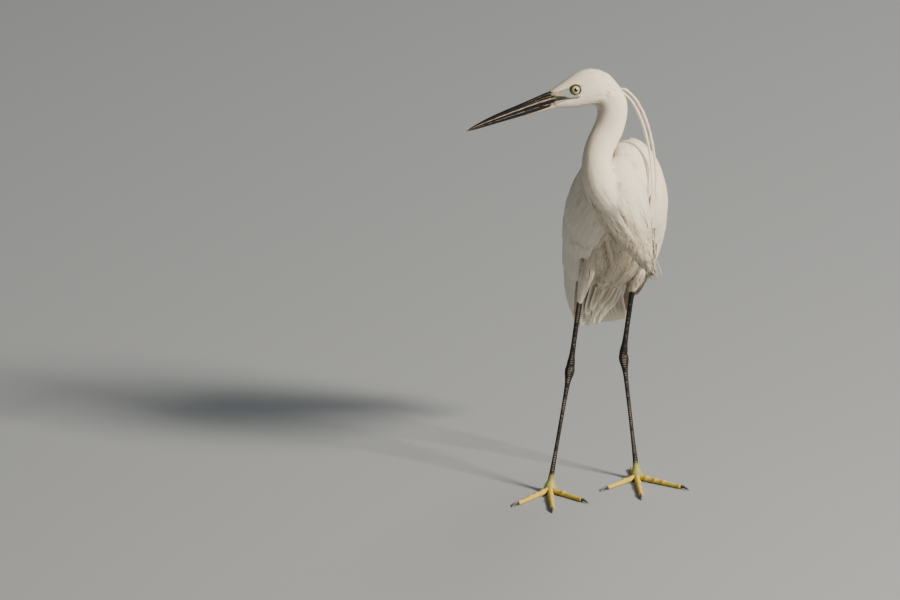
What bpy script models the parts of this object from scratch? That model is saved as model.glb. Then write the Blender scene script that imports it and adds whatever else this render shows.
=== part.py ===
"""A little egret, life size, standing with its neck folded and its head turned to its right.

All sizes are in millimetres and become metres when a mesh is made. The bird stands on z = 0 with its
breast towards -Y, so +X is the bird's left. Each part of the body is its own closed solid, and parts
that meet keep a gap of GAP between their faces.
"""

import bmesh
import bpy
import numpy as np
from mathutils import Euler

MM = 0.001
GAP = 0.3
CENTRE = np.array([32.0, 10.4, 0.0])  # moves the bird so that the origin is under the middle of its box

# The trunk's axis: where it starts at the breast, which way it runs to the tail, and how far it rolls.
TRUNK_START = np.array([1.3, -85.6, 317.6])
TRUNK_AXIS = np.array([-0.040, 0.680, -0.732])
TRUNK_ROLL = np.radians(7.0)

# Along the axis: half width, height of the back above it, depth of the belly below it, and how far its
# middle lies to the bird's left, because the neck is laid over on that side.
TRUNK = [
    (-16, 10, 13, 12, 7),
    (-10, 15, 21, 20, 8),
    (0, 21, 29.5, 30, 9),
    (20, 28.5, 39, 38, 9.5),
    (50, 36, 43, 44, 7),
    (85, 40, 42, 46, 4.5),
    (115, 37.5, 37, 44, 4),
    (145, 30, 29, 37, 2.5),
    (170, 20, 18, 24, 1),
    (188, 11, 10, 13, 0),
]
TRUNK_TIPS = (-20, 196)

# The surface that the folded wings lie on: the trunk's own, then a slimmer taper over the tail.
WING_BED = [
    (-16, 10, 13, 12, 7),
    (-10, 15, 21, 20, 8),
    (0, 21, 29.5, 30, 9),
    (20, 28.5, 39, 38, 9.5),
    (50, 36, 43, 44, 7),
    (85, 40, 42, 46, 4.5),
    (115, 40.5, 37.5, 45, 4),
    (150, 37.5, 31, 42, 3),
    (180, 34, 24, 36, 1.5),
    (210, 29, 18, 27, 0),
    (240, 23, 12, 18, 0),
    (290, 12, 7, 8, 0),
]

# The folded wing's own thickness over the bed, along the axis, and where its edge to the belly lies.
WING_THICK = [
    (-14, 1.6), (-6, 3.6), (10, 6.2), (40, 7.0), (80, 6.0), (120, 4.6), (160, 3.4), (210, 2.4), (280, 1.6),
]
WING_EDGE = [
    (-14, 70), (-4, 102), (10, 124), (28, 138), (50, 140), (75, 134),
    (100, 124), (130, 118), (160, 112), (200, 104), (240, 86), (262, 66),
]
WING_TOP = [(-14, 44), (-4, 26), (12, 15), (225, 15), (262, 34)]  # its edge beside the backbone
WING_INNER = 1.2  # how far the wing's inner face stands off its bed
WING_FLARE = {"l": 0.0, "r": 5.0}  # how far each wing's end hangs away from the body
WING_DROP = {"l": 0.0, "r": 19.0}  # how much further back along the trunk each wing hangs
VANE_THICK, VANE_RIM = 1.25, 0.6
VANE_CLEAR = 0.07  # keeps a feather's underside off the wing's own inner face

# Tiers of feathers: how many, where roots and tips lie along the axis (first and last feather), where
# roots and tips lie round the body in degrees, half width, height over the wing at root and tip, tilt.
TIERS = {
    "primaries": (4, (132, 120), (252, 268), (98, 62), (94, 40), 7.0, (-2.4, -2.0), 0.3),
    "secondaries": (6, (108, 98), (222, 256), (106, 26), (106, 24), 11.5, (-1.7, 0.2), 0.55),
    "greater_coverts": (5, (72, 66), (138, 160), (116, 30), (112, 28), 14.0, (-1.5, 0.7), 0.6),
    "median_coverts": (5, (34, 30), (88, 104), (126, 31), (122, 29), 14.5, (-1.6, 0.9), 0.6),
    "scapulars": (3, (20, 34), (118, 176), (46, 30), (44, 30), 9.0, (-0.8, 1.4), 0.45),
}
RISE_POWER = 0.6  # below 1, a feather comes up out of the wing soon after its root
PAD_END = 167
FEATHER_FORM = [(0, 0.5), (0.35, 1.0), (0.76, 0.98), (0.94, 0.66)]
SHORT_FORM = [(0, 0.6), (0.55, 1.0), (0.92, 0.7)]
SHORT_TIERS = ("greater_coverts", "median_coverts")

TAIL_ROOT, TAIL_TIP = 190, 277
TAIL_PAIRS = 5
TAIL_HALF_WIDTH = 5.6


# The neck's line from the breast up to the skull: x, y, z, half depth in its own plane, half width.
NECK = [
    (17.5, -100, 262, 13, 11),
    (3.6, -109.5, 284, 14.5, 12),
    (-7.4, -119, 299.5, 16.5, 13.5),
    (-14.6, -123, 315.3, 15.5, 13),
    (-16.2, -120, 330.8, 14.5, 12),
    (-13.0, -114, 345.3, 14.5, 11.5),
    (-6.0, -108, 358.6, 14.5, 11.5),
    (-2.2, -104, 370.5, 14.5, 12),
    (-2.0, -101.5, 382, 15, 12),
    (-8, -101.5, 394, 14, 12),
]
NECK_SIDE = np.array([-0.25, -0.96, 0.12])  # the side of the neck that faces outward
NECK_PARTS = {"neck_lower": (1.7, 4.981), "neck_upper": (5.0, 9.0)}

# The breast hangs on below the neck's bend: x, y, z, half width across, half thickness.
BREAST = [
    (8, -95, 329, 9, 9),
    (3, -105, 318, 19, 16),
    (4, -110.5, 304, 24.5, 20.5),
    (9.5, -106.5, 282.5, 24.5, 18.5),
    (18, -98, 261, 18, 13),
    (25.5, -88, 241, 11, 8.5),
    (31, -78, 224, 5, 4.5),
]
BREAST_TIP = (34, -71, 212)
BREAST_SIDE = np.array([0.97, 0.15, 0.2])

# Loose locks on the breast: where each starts and ends along the breast's rows (a step for each row, and
# past the last row beyond its tip), the degrees round it of its start and end, and its half width.
BREAST_LOCKS = [
    (2.1, 4.6, -78, -62, 3.6),
    (2.5, 5.1, -60, -40, 3.8),
    (2.2, 4.3, -96, -84, 3.4),
    (2.9, 5.5, -42, -22, 3.6),
    (2.6, 5.3, -20, -8, 3.8),
    (3.2, 5.9, -6, 4, 3.4),
    (2.4, 5.0, 14, 16, 3.8),
    (2.9, 5.6, 34, 28, 3.6),
    (2.2, 4.7, 52, 44, 3.6),
    (3.3, 5.7, -88, -70, 3.0),
]

# The head's own frame has its origin between the eyes, x to the bill, y to the bird's left, z up.
HEAD_PLACE = np.array([-36.7, -106.3, 397.6])
HEAD_TURN = Euler(np.radians((10.0, 18.0, 192.0)), "XYZ").to_matrix()
HEAD = [  # x, top, bottom, half width
    (23.6, 5.9, -10.6, 5.6),
    (16, 8.1, -13.2, 7.6),
    (7, 10.6, -16.3, 9.9),
    (-3, 13.0, -18.6, 11.8),
    (-12, 14.0, -20.4, 13.2),
    (-20, 12.8, -21.4, 13.6),
    (-28, 8.8, -20.8, 12.4),
    (-35, 2.0, -18.0, 9.4),
]
HEAD_BACK = (-39.5, -8.5)
EYE_RADIUS = 4.7
EYE_PLACE = (0.0, 8.6, 0.2)
LID_RADIUS, LID_TUBE = 4.3, 0.75
GAPE = [(-0.5, -7.1), (10, -5.1), (19, -3.7), (24.2, -2.9)]
GAPE_DEEP, GAPE_HIGH = 1.4, 0.7

BILL = [  # x, top, mouth line, bottom, half width
    (24.0, 5.8, -2.9, -10.4, 5.4),
    (32, 5.5, -2.1, -9.6, 4.9),
    (42, 4.9, -1.7, -8.2, 4.3),
    (54, 4.3, -1.4, -6.6, 3.7),
    (68, 3.8, -1.2, -5.4, 3.1),
    (82, 2.8, -1.1, -4.3, 2.4),
    (94, 1.2, -1.2, -3.4, 1.6),
    (103, -0.5, -1.5, -2.5, 0.8),
]
BILL_TIP = (106.0, -1.6)
BILL_SQUARE = 0.85  # below 1 makes the bill's cross section fuller at its sides
NOSTRIL = (30.0, 1.6, 4.6, 1.1, 1.2)  # x, z, length, height, depth

# Two long plumes hang from the nape over the left shoulder.
PLUME_LINE = [
    (2, -94, 394), (8.4, -91, 391.5), (15.9, -88, 384), (21.3, -86, 375.2), (25.8, -85.5, 365.5),
    (29.4, -86, 355), (32.2, -87.5, 344), (34.4, -89.5, 332.5), (35.8, -92, 320), (36.2, -94.5, 307),
    (35.8, -96, 285),
]
PLUME_APART = 3.5
PLUME_HALF_WIDTH = 1.7

# The long loose plumes of the back: root and tip along the axis, root and tip round the body in
# degrees (positive is the bird's left), how far the tip stands off the bed.
MANTLE = (30, 112, 7.5, 3.0)  # from, to, half width in degrees, thickness
BACK_PLUMES = [
    (74, 206, -7, -46, 11.5),
    (82, 226, -5, -28, 11),
    (92, 244, -3, -13, 10.5),
    (100, 252, 0, 2, 10.5),
    (94, 246, 3, 16, 10.5),
    (86, 232, 5, 31, 11),
    (78, 214, 5.5, 48, 12),
    (72, 200, 6, 64, 16),
    (66, 186, 6.5, 78, 19),
]
BACK_PLUME_HALF_WIDTH = 1.5

# Each leg: the feathered thigh, the bare shank, the heel joint, the tarsus and the toes' common root.
LEGS = {
    "r": {
        "thigh": [
            (-17, -33, 240, 11), (-22.5, -40, 213, 9.5), (-26.5, -38, 194, 6.6), (-30.8, -34, 173.8, 3.4),
        ],
        "heel": (-38.6, -26, 112.1),
        "foot": (-57.5, -53, 7.0),
    },
    "l": {
        "thigh": [
            (18, -20, 232, 11), (23.0, -17, 210, 9.5), (22.5, -11.5, 193, 7.0), (17.8, -6.5, 178, 3.6),
        ],
        "heel": (10.1, 8, 113.9),
        "foot": (22.5, -12, 7.0),
    },
}
SHANK_RADIUS = 2.5
SHANK_FORM = [(0, 1.02), (0.3, 0.98), (0.6, 0.96), (0.82, 1.12), (0.92, 1.45), (1, 1.6)]  # of its radius
TARSUS_FORM = [  # share of its length, radius: the heel joint's swelling, then slim down to the toes
    (0, 4.0), (0.03, 4.6), (0.07, 4.3), (0.12, 3.1), (0.2, 2.3),
    (0.4, 1.95), (0.7, 1.9), (0.9, 2.3), (1, 2.9),
]
PALM_RADIUS, PALM_HEIGHT = 5.8, 15.0
TOE_SINK = 0.35  # how far a toe's round underside would reach below the floor, which gives its flat
TOE_RADIUS = 2.7
CLAW_LENGTH = 9.0
TOES = {  # angle from straight ahead (degrees, towards the bird's left), length with the claw, its joints
    "r": {
        "outer": (-35, 60, (0.22, 0.42, 0.6)),
        "middle": (2, 68, (0.3, 0.56)),
        "inner": (43, 52, (0.42,)),
        "hind": (176, 33, (0.3,)),
    },
    "l": {
        "outer": (53, 60, (0.22, 0.42, 0.6)),
        "middle": (3.5, 68, (0.3, 0.56)),
        "inner": (-39.5, 52, (0.42,)),
        "hind": (190, 33, (0.3,)),
    },
}

RINGS_ROUND = 20


def spline(rows, steps):
    """Points at the given steps along a smooth curve through rows, one step for each row."""
    rows = np.asarray(rows, float)
    steps = np.asarray(steps, float)
    ends = np.vstack([2 * rows[0] - rows[1], rows, 2 * rows[-1] - rows[-2]])
    first = np.clip(np.floor(steps).astype(int), 0, len(rows) - 2)
    part = (steps - first)[:, None]
    a, b, c, d = (ends[first + i] for i in range(4))
    bend, twist = 2 * a - 5 * b + 4 * c - d, 3 * b - a - 3 * c + d
    return 0.5 * (2 * b + (c - a) * part + bend * part**2 + twist * part**3)


def unit(vectors):
    return vectors / np.linalg.norm(vectors, axis=-1, keepdims=True)


def profile(table, places):
    """A table's columns read at places along its first column, by a smooth curve through its rows."""
    rows = np.asarray(table, float)
    steps = np.interp(places, rows[:, 0], np.arange(len(rows)))
    fine = np.linspace(0, len(rows) - 1, 40 * len(rows))
    curve = spline(rows, fine)
    steps = np.interp(places, curve[:, 0], fine)
    return spline(rows, steps)[:, 1:]


def placed(name, points, faces):
    """A mesh object with its own origin in its middle, placed under the bird's empty."""
    middle = points.mean(axis=0)
    mesh = bpy.data.meshes.new(name)
    mesh.from_pydata(((points - middle) * MM).tolist(), [], [tuple(int(v) for v in face) for face in faces])
    mesh.validate()
    made = bpy.data.objects.new(name, mesh)
    made.parent = bpy.data.objects["egret_origin"]
    made.location = middle * MM
    bpy.context.scene.collection.objects.link(made)
    return made


def closed_mesh(name, rings, start=None, end=None, halves_alike=False, strip_ends=False):
    """A mesh object over rings of points, closed at each end by a fan, or by a strip of faces.

    With halves_alike, the second half of each ring mirrors the first half's diagonals, so that the two
    faces of a thin vane bend alike. A strip joins the two halves of a thin curved ring across.
    """
    rings = np.asarray(rings, float)
    count, size = rings.shape[:2]
    start = rings[0].mean(axis=0) if start is None else np.asarray(start, float)
    end = rings[-1].mean(axis=0) if end is None else np.asarray(end, float)
    points = np.vstack([rings.reshape(-1, 3), start, end])
    faces = []
    for i in range(count - 1):
        for j in range(size):
            k = (j + 1) % size
            a, b, c, d = i * size + j, i * size + k, (i + 1) * size + k, (i + 1) * size + j
            if halves_alike and 2 * j >= size:
                faces += [(a, b, d), (b, c, d)]
            else:
                faces += [(a, b, c), (a, c, d)]
    last = (count - 1) * size
    if strip_ends:
        points = points[:-2]
        for j in range(size // 2 - 1):
            a, b, c, d = j, j + 1, size - 2 - j, size - 1 - j
            faces += [(a, c, b), (a, d, c), (last + a, last + b, last + c), (last + a, last + c, last + d)]
    else:
        for j in range(size):
            k = (j + 1) % size
            faces += [(count * size, k, j), (count * size + 1, last + j, last + k)]
    corners = points[np.array(faces)]
    volume = np.einsum("ij,ij->i", corners[:, 0], np.cross(corners[:, 1], corners[:, 2])).sum()
    if volume < 0:
        faces = [face[::-1] for face in faces]
    return placed(name, points, faces)


def tube_rings(line, side, deep, wide, size=12, grow=0.0, floor=None, along=None):
    """Rings of an oval tube along a line. side is kept as the wide axis; floor flattens what lies lower."""
    line = np.asarray(line, float)
    along = unit(np.gradient(line, axis=0) if along is None else along)
    side = np.broadcast_to(np.asarray(side, float), line.shape)
    across = unit(side - (side * along).sum(axis=1, keepdims=True) * along)
    other = np.cross(along, across)
    turn = np.linspace(0, 2 * np.pi, size, endpoint=False)
    deep = (np.asarray(deep, float) + grow)[:, None, None] * np.cos(turn)[None, :, None]
    wide = (np.asarray(wide, float) + grow)[:, None, None] * np.sin(turn)[None, :, None]
    rings = line[:, None, :] + other[:, None, :] * deep + across[:, None, :] * wide
    if floor is not None:
        rings[:, :, 2] = np.maximum(rings[:, :, 2], floor)
    return rings


def trunk_axes():
    """The trunk's left, its axis to the tail, and its back, as unit vectors."""
    axis = unit(TRUNK_AXIS)
    left = unit(np.cross(axis, [0, 0, 1]))
    back = np.cross(left, axis)
    return (
        left * np.cos(TRUNK_ROLL) + back * np.sin(TRUNK_ROLL),
        axis,
        back * np.cos(TRUNK_ROLL) - left * np.sin(TRUNK_ROLL),
    )


def bed_point(table, place, turn, lift=0.0):
    """Points on the trunk or on the wings' bed.

    place is the distance along the axis, and turn goes round from the back, 0, to the left side, a
    quarter turn, and the belly. lift is added to the radii.
    """
    place, turn, lift = np.broadcast_arrays(np.asarray(place, float), turn, lift)
    left, axis, back = trunk_axes()
    wide, high, low, aside = profile(table, place.ravel()).T.reshape(4, *place.shape)
    rise = np.where(np.cos(turn) > 0, high, low) + lift
    return (
        TRUNK_START
        + axis * place[..., None]
        + left * (aside + (wide + lift) * np.sin(turn))[..., None]
        + back * (rise * np.cos(turn))[..., None]
    )


def modifiers_applied(thing):
    """Makes what the viewport shows of thing into its own mesh."""
    graph = bpy.context.evaluated_depsgraph_get()
    mesh = bpy.data.meshes.new_from_object(thing.evaluated_get(graph))
    thing.modifiers.clear()
    thing.data = mesh


def keep_largest(thing):
    """Leaves only the largest closed surface, so that no scrap and no sealed hollow stays."""
    work = bmesh.new()
    work.from_mesh(thing.data)
    bmesh.ops.triangulate(work, faces=work.faces)
    left = set(work.faces)
    groups = []
    while left:
        found, edge_of = set(), [left.pop()]
        while edge_of:
            face = edge_of.pop()
            found.add(face)
            for edge in face.edges:
                for other in edge.link_faces:
                    if other in left:
                        left.discard(other)
                        edge_of.append(other)
        groups.append(found)
    sizes = [sum(f.verts[0].co.dot(f.verts[1].co.cross(f.verts[2].co)) for f in g) for g in groups]
    largest = groups[int(np.argmax(sizes))]
    bmesh.ops.delete(work, geom=[f for f in work.faces if f not in largest], context="FACES")
    work.to_mesh(thing.data)
    work.free()


def fused(name, pieces):
    """One closed body made of several that overlap."""
    base, rest = pieces[0], pieces[1:]
    base.name = name
    if not rest:
        return base
    group = bpy.data.collections.new(name + "_pieces")
    for piece in rest:
        group.objects.link(piece)
    join = base.modifiers.new("join", "BOOLEAN")
    join.operation = "UNION"
    join.operand_type = "COLLECTION"
    join.collection = group
    join.solver = "MANIFOLD"
    modifiers_applied(base)
    for piece in rest:
        bpy.data.objects.remove(piece)
    bpy.data.collections.remove(group)
    keep_largest(base)
    return base


def carved(thing, cutters):
    """Takes each cutter out of thing, and removes the cutters."""
    for cutter in cutters:
        cutter.hide_render = True
        cutter.display_type = "WIRE"
        cut = thing.modifiers.new("cut", "BOOLEAN")
        cut.operation = "DIFFERENCE"
        cut.object = cutter
    modifiers_applied(thing)
    for cutter in cutters:
        bpy.data.objects.remove(cutter)
    keep_largest(thing)
    return thing


def finish(name, colour, roughness, metallic=0.0):
    """One plain finish, made once and shared."""
    made = bpy.data.materials.get(name) or bpy.data.materials.new(name)
    made.use_nodes = True
    shader = made.node_tree.nodes["Principled BSDF"]
    shader.inputs["Base Color"].default_value = (*colour, 1.0)
    shader.inputs["Roughness"].default_value = roughness
    shader.inputs["Metallic"].default_value = metallic
    return made


FINISHES = {
    "white_feathers": ((0.80, 0.77, 0.70), 0.75),
    "bare_skin": ((0.42, 0.46, 0.40), 0.55),
    "bill_horn": ((0.07, 0.065, 0.06), 0.40),
    "eye": ((0.72, 0.62, 0.26), 0.10),
    "black_scales": ((0.025, 0.023, 0.022), 0.45),
    "yellow_scales": ((0.62, 0.46, 0.07), 0.50),
    "claw_horn": ((0.03, 0.025, 0.02), 0.35),
}


def painted(thing, finish_name, smooth=True):
    thing.data.materials.clear()
    thing.data.materials.append(finish(finish_name, *FINISHES[finish_name]))
    if smooth:
        thing.data.shade_smooth()
        thing.data.set_sharp_from_angle(angle=np.radians(40))
    return thing


def trunk_body(name, grow=0.0):
    places = np.array([-16, -10, 0, 12, 28, 50, 75, 100, 122, 145, 163, 178, 188], float)
    turn = np.linspace(0, 2 * np.pi, RINGS_ROUND, endpoint=False)
    rings = bed_point(TRUNK, places[:, None], turn[None, :], grow)
    left, axis, back = trunk_axes()
    asides = (TRUNK[0][-1], TRUNK[-1][-1])
    ends = [
        TRUNK_START + axis * (place + grow * np.sign(place)) + left * aside
        for place, aside in zip(TRUNK_TIPS, asides)
    ]
    return closed_mesh(name, rings, *ends)


def neck_piece(name, first, last, grow=0.0, count=9):
    steps = np.linspace(first, last, count)
    rows = spline(NECK, steps)
    near = 0.05  # how far to each side, in steps, the line's own direction is read
    ahead, behind = np.minimum(steps + near, len(NECK) - 1), steps - near
    along = unit((spline(NECK, ahead) - spline(NECK, behind))[:, :3])
    rings = tube_rings(rows[:, :3], NECK_SIDE, rows[:, 3], rows[:, 4], 16, grow, None, along)
    rings[0] -= grow * along[0]
    rings[-1] += grow * along[-1]
    return closed_mesh(name, rings)


def head_to_world(points):
    return np.asarray(points, float) @ np.array(HEAD_TURN).T + HEAD_PLACE


def head_body(name, grow=0.0):
    places = np.array([23.6, 17, 10, 3, -5, -12, -20, -28, -35], float)
    top, bottom, wide = profile(HEAD[::-1], places).T
    turn = np.linspace(0, 2 * np.pi, RINGS_ROUND, endpoint=False)
    middle, half = (top + bottom) / 2, (top - bottom) / 2
    rings = np.stack(
        np.broadcast_arrays(
            places[:, None],
            (wide[:, None] + grow) * np.sin(turn),
            middle[:, None] + (half[:, None] + grow) * np.cos(turn),
        ),
        axis=-1,
    )
    if grow:
        rings[0, :, 0] += grow
    back = head_to_world([HEAD_BACK[0] - grow, 0, HEAD_BACK[1]])
    return closed_mesh(name, head_to_world(rings), None, back)


def slab(name, outline, y_from, y_to):
    """A plate in the head's frame: an outline of (x, z) points drawn from y_from to y_to."""
    rings = [[(x, y, z) for x, z in outline] for y in (y_from, y_to)]
    return closed_mesh(name, head_to_world(rings))


def ball(name, centre, radius, size=12, squash=1.0):
    """A round body in the head's frame, flattened along y by squash."""
    steps = np.linspace(0, np.pi, size // 2 + 2)[1:-1]
    turn = np.linspace(0, 2 * np.pi, size, endpoint=False)
    rings = np.stack(
        np.broadcast_arrays(
            np.sin(steps)[:, None] * np.cos(turn) * radius,
            np.cos(steps)[:, None] * radius * squash,
            np.sin(steps)[:, None] * np.sin(turn) * radius,
        ),
        axis=-1,
    ) + np.asarray(centre, float)
    poles = [np.asarray(centre, float) + [0, radius * squash * sign, 0] for sign in (1, -1)]
    return closed_mesh(name, head_to_world(rings), *head_to_world(poles))


def lid_ring(name, side):
    """The rim of the lids: a ring round the eye, standing on the side of the head."""
    turn = np.linspace(0, 2 * np.pi, 14, endpoint=False)
    small = np.linspace(0, 2 * np.pi, 5, endpoint=False)
    x, y, z = EYE_PLACE
    radius = LID_RADIUS + LID_TUBE / 2 + LID_TUBE * np.cos(small)
    height = (y + 2.2 + LID_TUBE * np.sin(small)) * side
    points = np.stack(
        np.broadcast_arrays(
            x + np.cos(turn)[:, None] * radius,
            height[None, :],
            z + np.sin(turn)[:, None] * radius,
        ),
        axis=-1,
    )
    count, size = len(turn), len(small)
    faces = []
    for i in range(count):
        here, ahead = i * size, (i + 1) % count * size
        for j in range(size):
            k = (j + 1) % size
            face = (here + j, here + k, ahead + k, ahead + j)
            faces.append(face[::-1] if side < 0 else face)
    return placed(name, head_to_world(points.reshape(-1, 3)), faces)


def mouth_line(name, side):
    """A cutter for the mouth's line on one side of the head, which runs back from the bill's base."""
    rings = []
    for x, z in GAPE:
        top, bottom, wide = profile(HEAD[::-1], [x])[0]
        skin = wide * np.sqrt(1 - ((2 * z - top - bottom) / (top - bottom)) ** 2)
        low, high = z - GAPE_HIGH / 2, z + GAPE_HIGH / 2
        near, far = side * (skin - GAPE_DEEP), side * (skin + 3)
        rings.append([(x, near, low), (x, near, high), (x, far, high), (x, far, low)])
    return closed_mesh(name, head_to_world(rings))


def make_head():
    pieces = [head_body("head")]
    for side in (1, -1):
        pieces.append(lid_ring("lid", side))
    head = fused("head", pieces)
    cutters = []
    for side in (1, -1):
        x, y, z = EYE_PLACE
        cutters.append(ball("socket", (x, y * side, z), EYE_RADIUS + GAP))
        cutters.append(mouth_line("mouth_line", side))
    head = carved(head, cutters)
    painted(head, "white_feathers")
    for side, letter in ((1, "l"), (-1, "r")):
        x, y, z = EYE_PLACE
        painted(ball("eye_" + letter, (x, y * side, z), EYE_RADIUS), "eye")


def bill_rings(upper, places):
    top, mouth, bottom, wide = profile(BILL, places).T
    if upper:
        turn = np.linspace(0, np.pi, 9)
        rise = top - mouth - GAP / 2
        base = mouth + GAP / 2
    else:
        turn = np.linspace(0, -np.pi, 9)
        rise = mouth - GAP / 2 - bottom
        base = mouth - GAP / 2
    across = np.sign(np.cos(turn)) * np.abs(np.cos(turn)) ** BILL_SQUARE
    across, height = wide[:, None] * across, base[:, None] + rise[:, None] * np.sin(turn)
    return np.stack(np.broadcast_arrays(places[:, None], across, height), axis=-1)


def make_bill():
    places = np.array([24.0, 30, 38, 48, 60, 72, 84, 94, 103], float)
    for name, upper in (("bill_upper", True), ("bill_lower", False)):
        tip_z = BILL_TIP[1] + (0.25 if upper else -0.25)
        tip = head_to_world([BILL_TIP[0] - (0 if upper else 0.6), 0, tip_z])
        bill = closed_mesh(name, head_to_world(bill_rings(upper, places)), None, tip)
        if upper:
            x, z, length, height, depth = NOSTRIL
            outline = [(x - length / 2, z), (x, z + height / 2), (x + length / 2, z), (x, z - height / 2)]
            wide = float(profile(BILL, [x])[0, 3]) * 0.86
            for side in (1, -1):
                slot = slab("nostril", outline, side * (wide - depth), side * (wide + 3))
                bill = carved(bill, [slot])
        painted(bill, "bill_horn")


def make_trunk():
    painted(trunk_body("torso"), "white_feathers")


def make_neck():
    for name, part in NECK_PARTS.items():
        piece = neck_piece(name, *part)
        if name == "neck_upper":
            piece = carved(piece, [head_body("skull", GAP)])
        else:
            piece = carved(piece, [trunk_body("body", GAP)])
        painted(piece, "white_feathers")


def breast_point(step, turn, lift):
    """Points on or off the breast. turn goes round it from its front, 0, to the bird's left."""
    rows = spline(BREAST + [(*BREAST_TIP, 0.4, 0.4)], step)
    along = unit(spline(BREAST + [(*BREAST_TIP, 0.4, 0.4)], step + 0.05)[:, :3] - rows[:, :3])
    across = unit(BREAST_SIDE - (along @ BREAST_SIDE)[:, None] * along)
    front = np.cross(along, across)
    wide, deep = (rows[:, 3] + lift) * np.sin(turn), (rows[:, 4] + lift) * np.cos(turn)
    return rows[:, :3] + across * wide[:, None] + front * deep[:, None]


def make_breast():
    rows = spline(BREAST, np.linspace(0, len(BREAST) - 1, 11))
    rings = tube_rings(rows[:, :3], BREAST_SIDE, rows[:, 4], rows[:, 3], 20)
    pieces = [closed_mesh("breast", rings, None, BREAST_TIP)]
    for start, end, turn_from, turn_to, half_width in BREAST_LOCKS:
        part = np.linspace(0, 1, 6)
        turn = np.radians(turn_from + (turn_to - turn_from) * part)
        step = start + (end - start) * part
        lift = np.interp(part, [0, 0.35, 1], [-1.0, 0.5, 1.6])
        line = breast_point(np.minimum(step, 5.9), turn, lift)
        outward = breast_point(np.minimum(step, 5.9), turn, lift + 1) - line
        side = np.cross(np.gradient(line, axis=0), outward)
        taper = np.interp(part, [0, 0.3, 0.7, 1], [0.6, 1, 0.75, 0.25])
        rings = tube_rings(line[:-1], side[:-1], np.full(5, 0.75), taper[:-1] * half_width, 4)
        pieces.append(closed_mesh("breast_lock", rings, None, line[-1]))
    breast = fused("breast", pieces)
    neck = neck_piece("neck", *NECK_PARTS["neck_lower"], GAP)
    breast = carved(breast, [trunk_body("body", GAP), neck])
    painted(breast, "white_feathers")


def wing_edges(place):
    """The wing's edges beside the backbone and towards the belly, in radians of turn."""
    return [np.radians(np.interp(place, *np.array(table).T)) for table in (WING_TOP, WING_EDGE)]


def wing_lift(place, turn):
    """The wing's thickness over its bed, thinning out towards the wing's two edges."""
    top, edge = wing_edges(place)
    part = np.clip((turn - top) / (edge - top), 0, 1)
    thick = np.interp(place, *np.array(WING_THICK).T)
    full = thick * (0.42 + 0.58 * np.sqrt(np.clip(1 - np.abs(2 * part - 1) ** 3, 0, 1)))
    return np.maximum(full, WING_INNER + VANE_THICK)


def wing_point(letter, place, turn, lift):
    """Points on one folded wing. turn runs from the back to the belly on that wing's own side."""
    away = WING_FLARE[letter] * np.clip((place - 90) / 110, 0, 1)
    side = 1 if letter == "l" else -1
    return bed_point(WING_BED, place + WING_DROP[letter], side * turn, lift + away)


def wing_pad(name, letter, last):
    """The folded wing as one smooth pad that follows the side of the trunk."""
    places = np.array([-14, -9, -2, 8, 22, 40, 60, 84, 110, 140, last], float)
    top, edge = wing_edges(places)
    part = np.array([0, 0.06, 0.2, 0.36, 0.52, 0.68, 0.84, 0.95, 1.0])
    turn = top[:, None] + (edge - top)[:, None] * part
    lift = wing_lift(places[:, None], turn)
    outer = wing_point(letter, places[:, None], turn, lift)
    inner = wing_point(letter, places[:, None], turn, WING_INNER)
    return closed_mesh(name, np.concatenate([outer, inner[:, ::-1]], axis=1), strip_ends=True)


def vane_rings(along, across, place_at, thick=VANE_THICK, rim=VANE_RIM):
    """Rings of a flat feather. place_at(along, across, height) gives points; across runs from -1 to 1."""
    sides = np.array([-1.0, 0.0, 1.0])
    half = np.array([rim, thick, rim]) / 2
    top = place_at(along[:, None], across[:, None] * sides, half[None, :])
    bottom = place_at(along[:, None], across[:, None] * sides, -half[None, :])
    return np.concatenate([top, bottom[:, ::-1]], axis=1)


def tier_feathers(name, letter, count, roots, tips, root_turns, tip_turns, half_width, heights, tilt):
    """One row of overlapping feathers on a wing. Each lies on the edge of the one before it."""
    made = []
    chance = np.random.default_rng(len(name) + count)
    form = np.array(SHORT_FORM if name in SHORT_TIERS else FEATHER_FORM)
    for number in range(count):
        part = number / (count - 1)
        jitter = chance.uniform(-1, 1, 4)
        start = roots[0] + (roots[1] - roots[0]) * part + jitter[0] * 1.5
        end = tips[0] + (tips[1] - tips[0]) * part + jitter[1] * 2.5
        turn_from = root_turns[0] + (root_turns[1] - root_turns[0]) * part
        turn_to = tip_turns[0] + (tip_turns[1] - tip_turns[0]) * part + jitter[2] * 0.8
        wide = half_width * (1 + 0.05 * jitter[3])

        def place_at(along, across, height):
            place = start + (end - start) * along
            spread = across * wide / profile(WING_BED, place.ravel())[:, 0].reshape(place.shape)
            turn = np.radians(turn_from + (turn_to - turn_from) * along) + spread
            lift = wing_lift(place, turn) + heights[0] + (heights[1] - heights[0]) * along**RISE_POWER
            lift = np.maximum(lift + tilt * across, WING_INNER + VANE_THICK / 2 + VANE_CLEAR) + height
            return wing_point(letter, place, turn, lift)

        rings = vane_rings(form[:, 0], form[:, 1], place_at)
        last = place_at(np.array([[1.0]]), np.array([[0.0]]), np.array([[0.0]]))[0, 0]
        made.append(closed_mesh(f"{name}_{number}", rings, None, last, halves_alike=True))
    return made


def make_wing(letter):
    pieces = [wing_pad("wing_" + letter, letter, PAD_END)]
    for name, tier in TIERS.items():
        pieces += tier_feathers(name, letter, *tier)
    wing = carved(fused("wing_" + letter, pieces), [thigh_body("thigh", letter, GAP)])
    painted(wing, "white_feathers")


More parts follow.
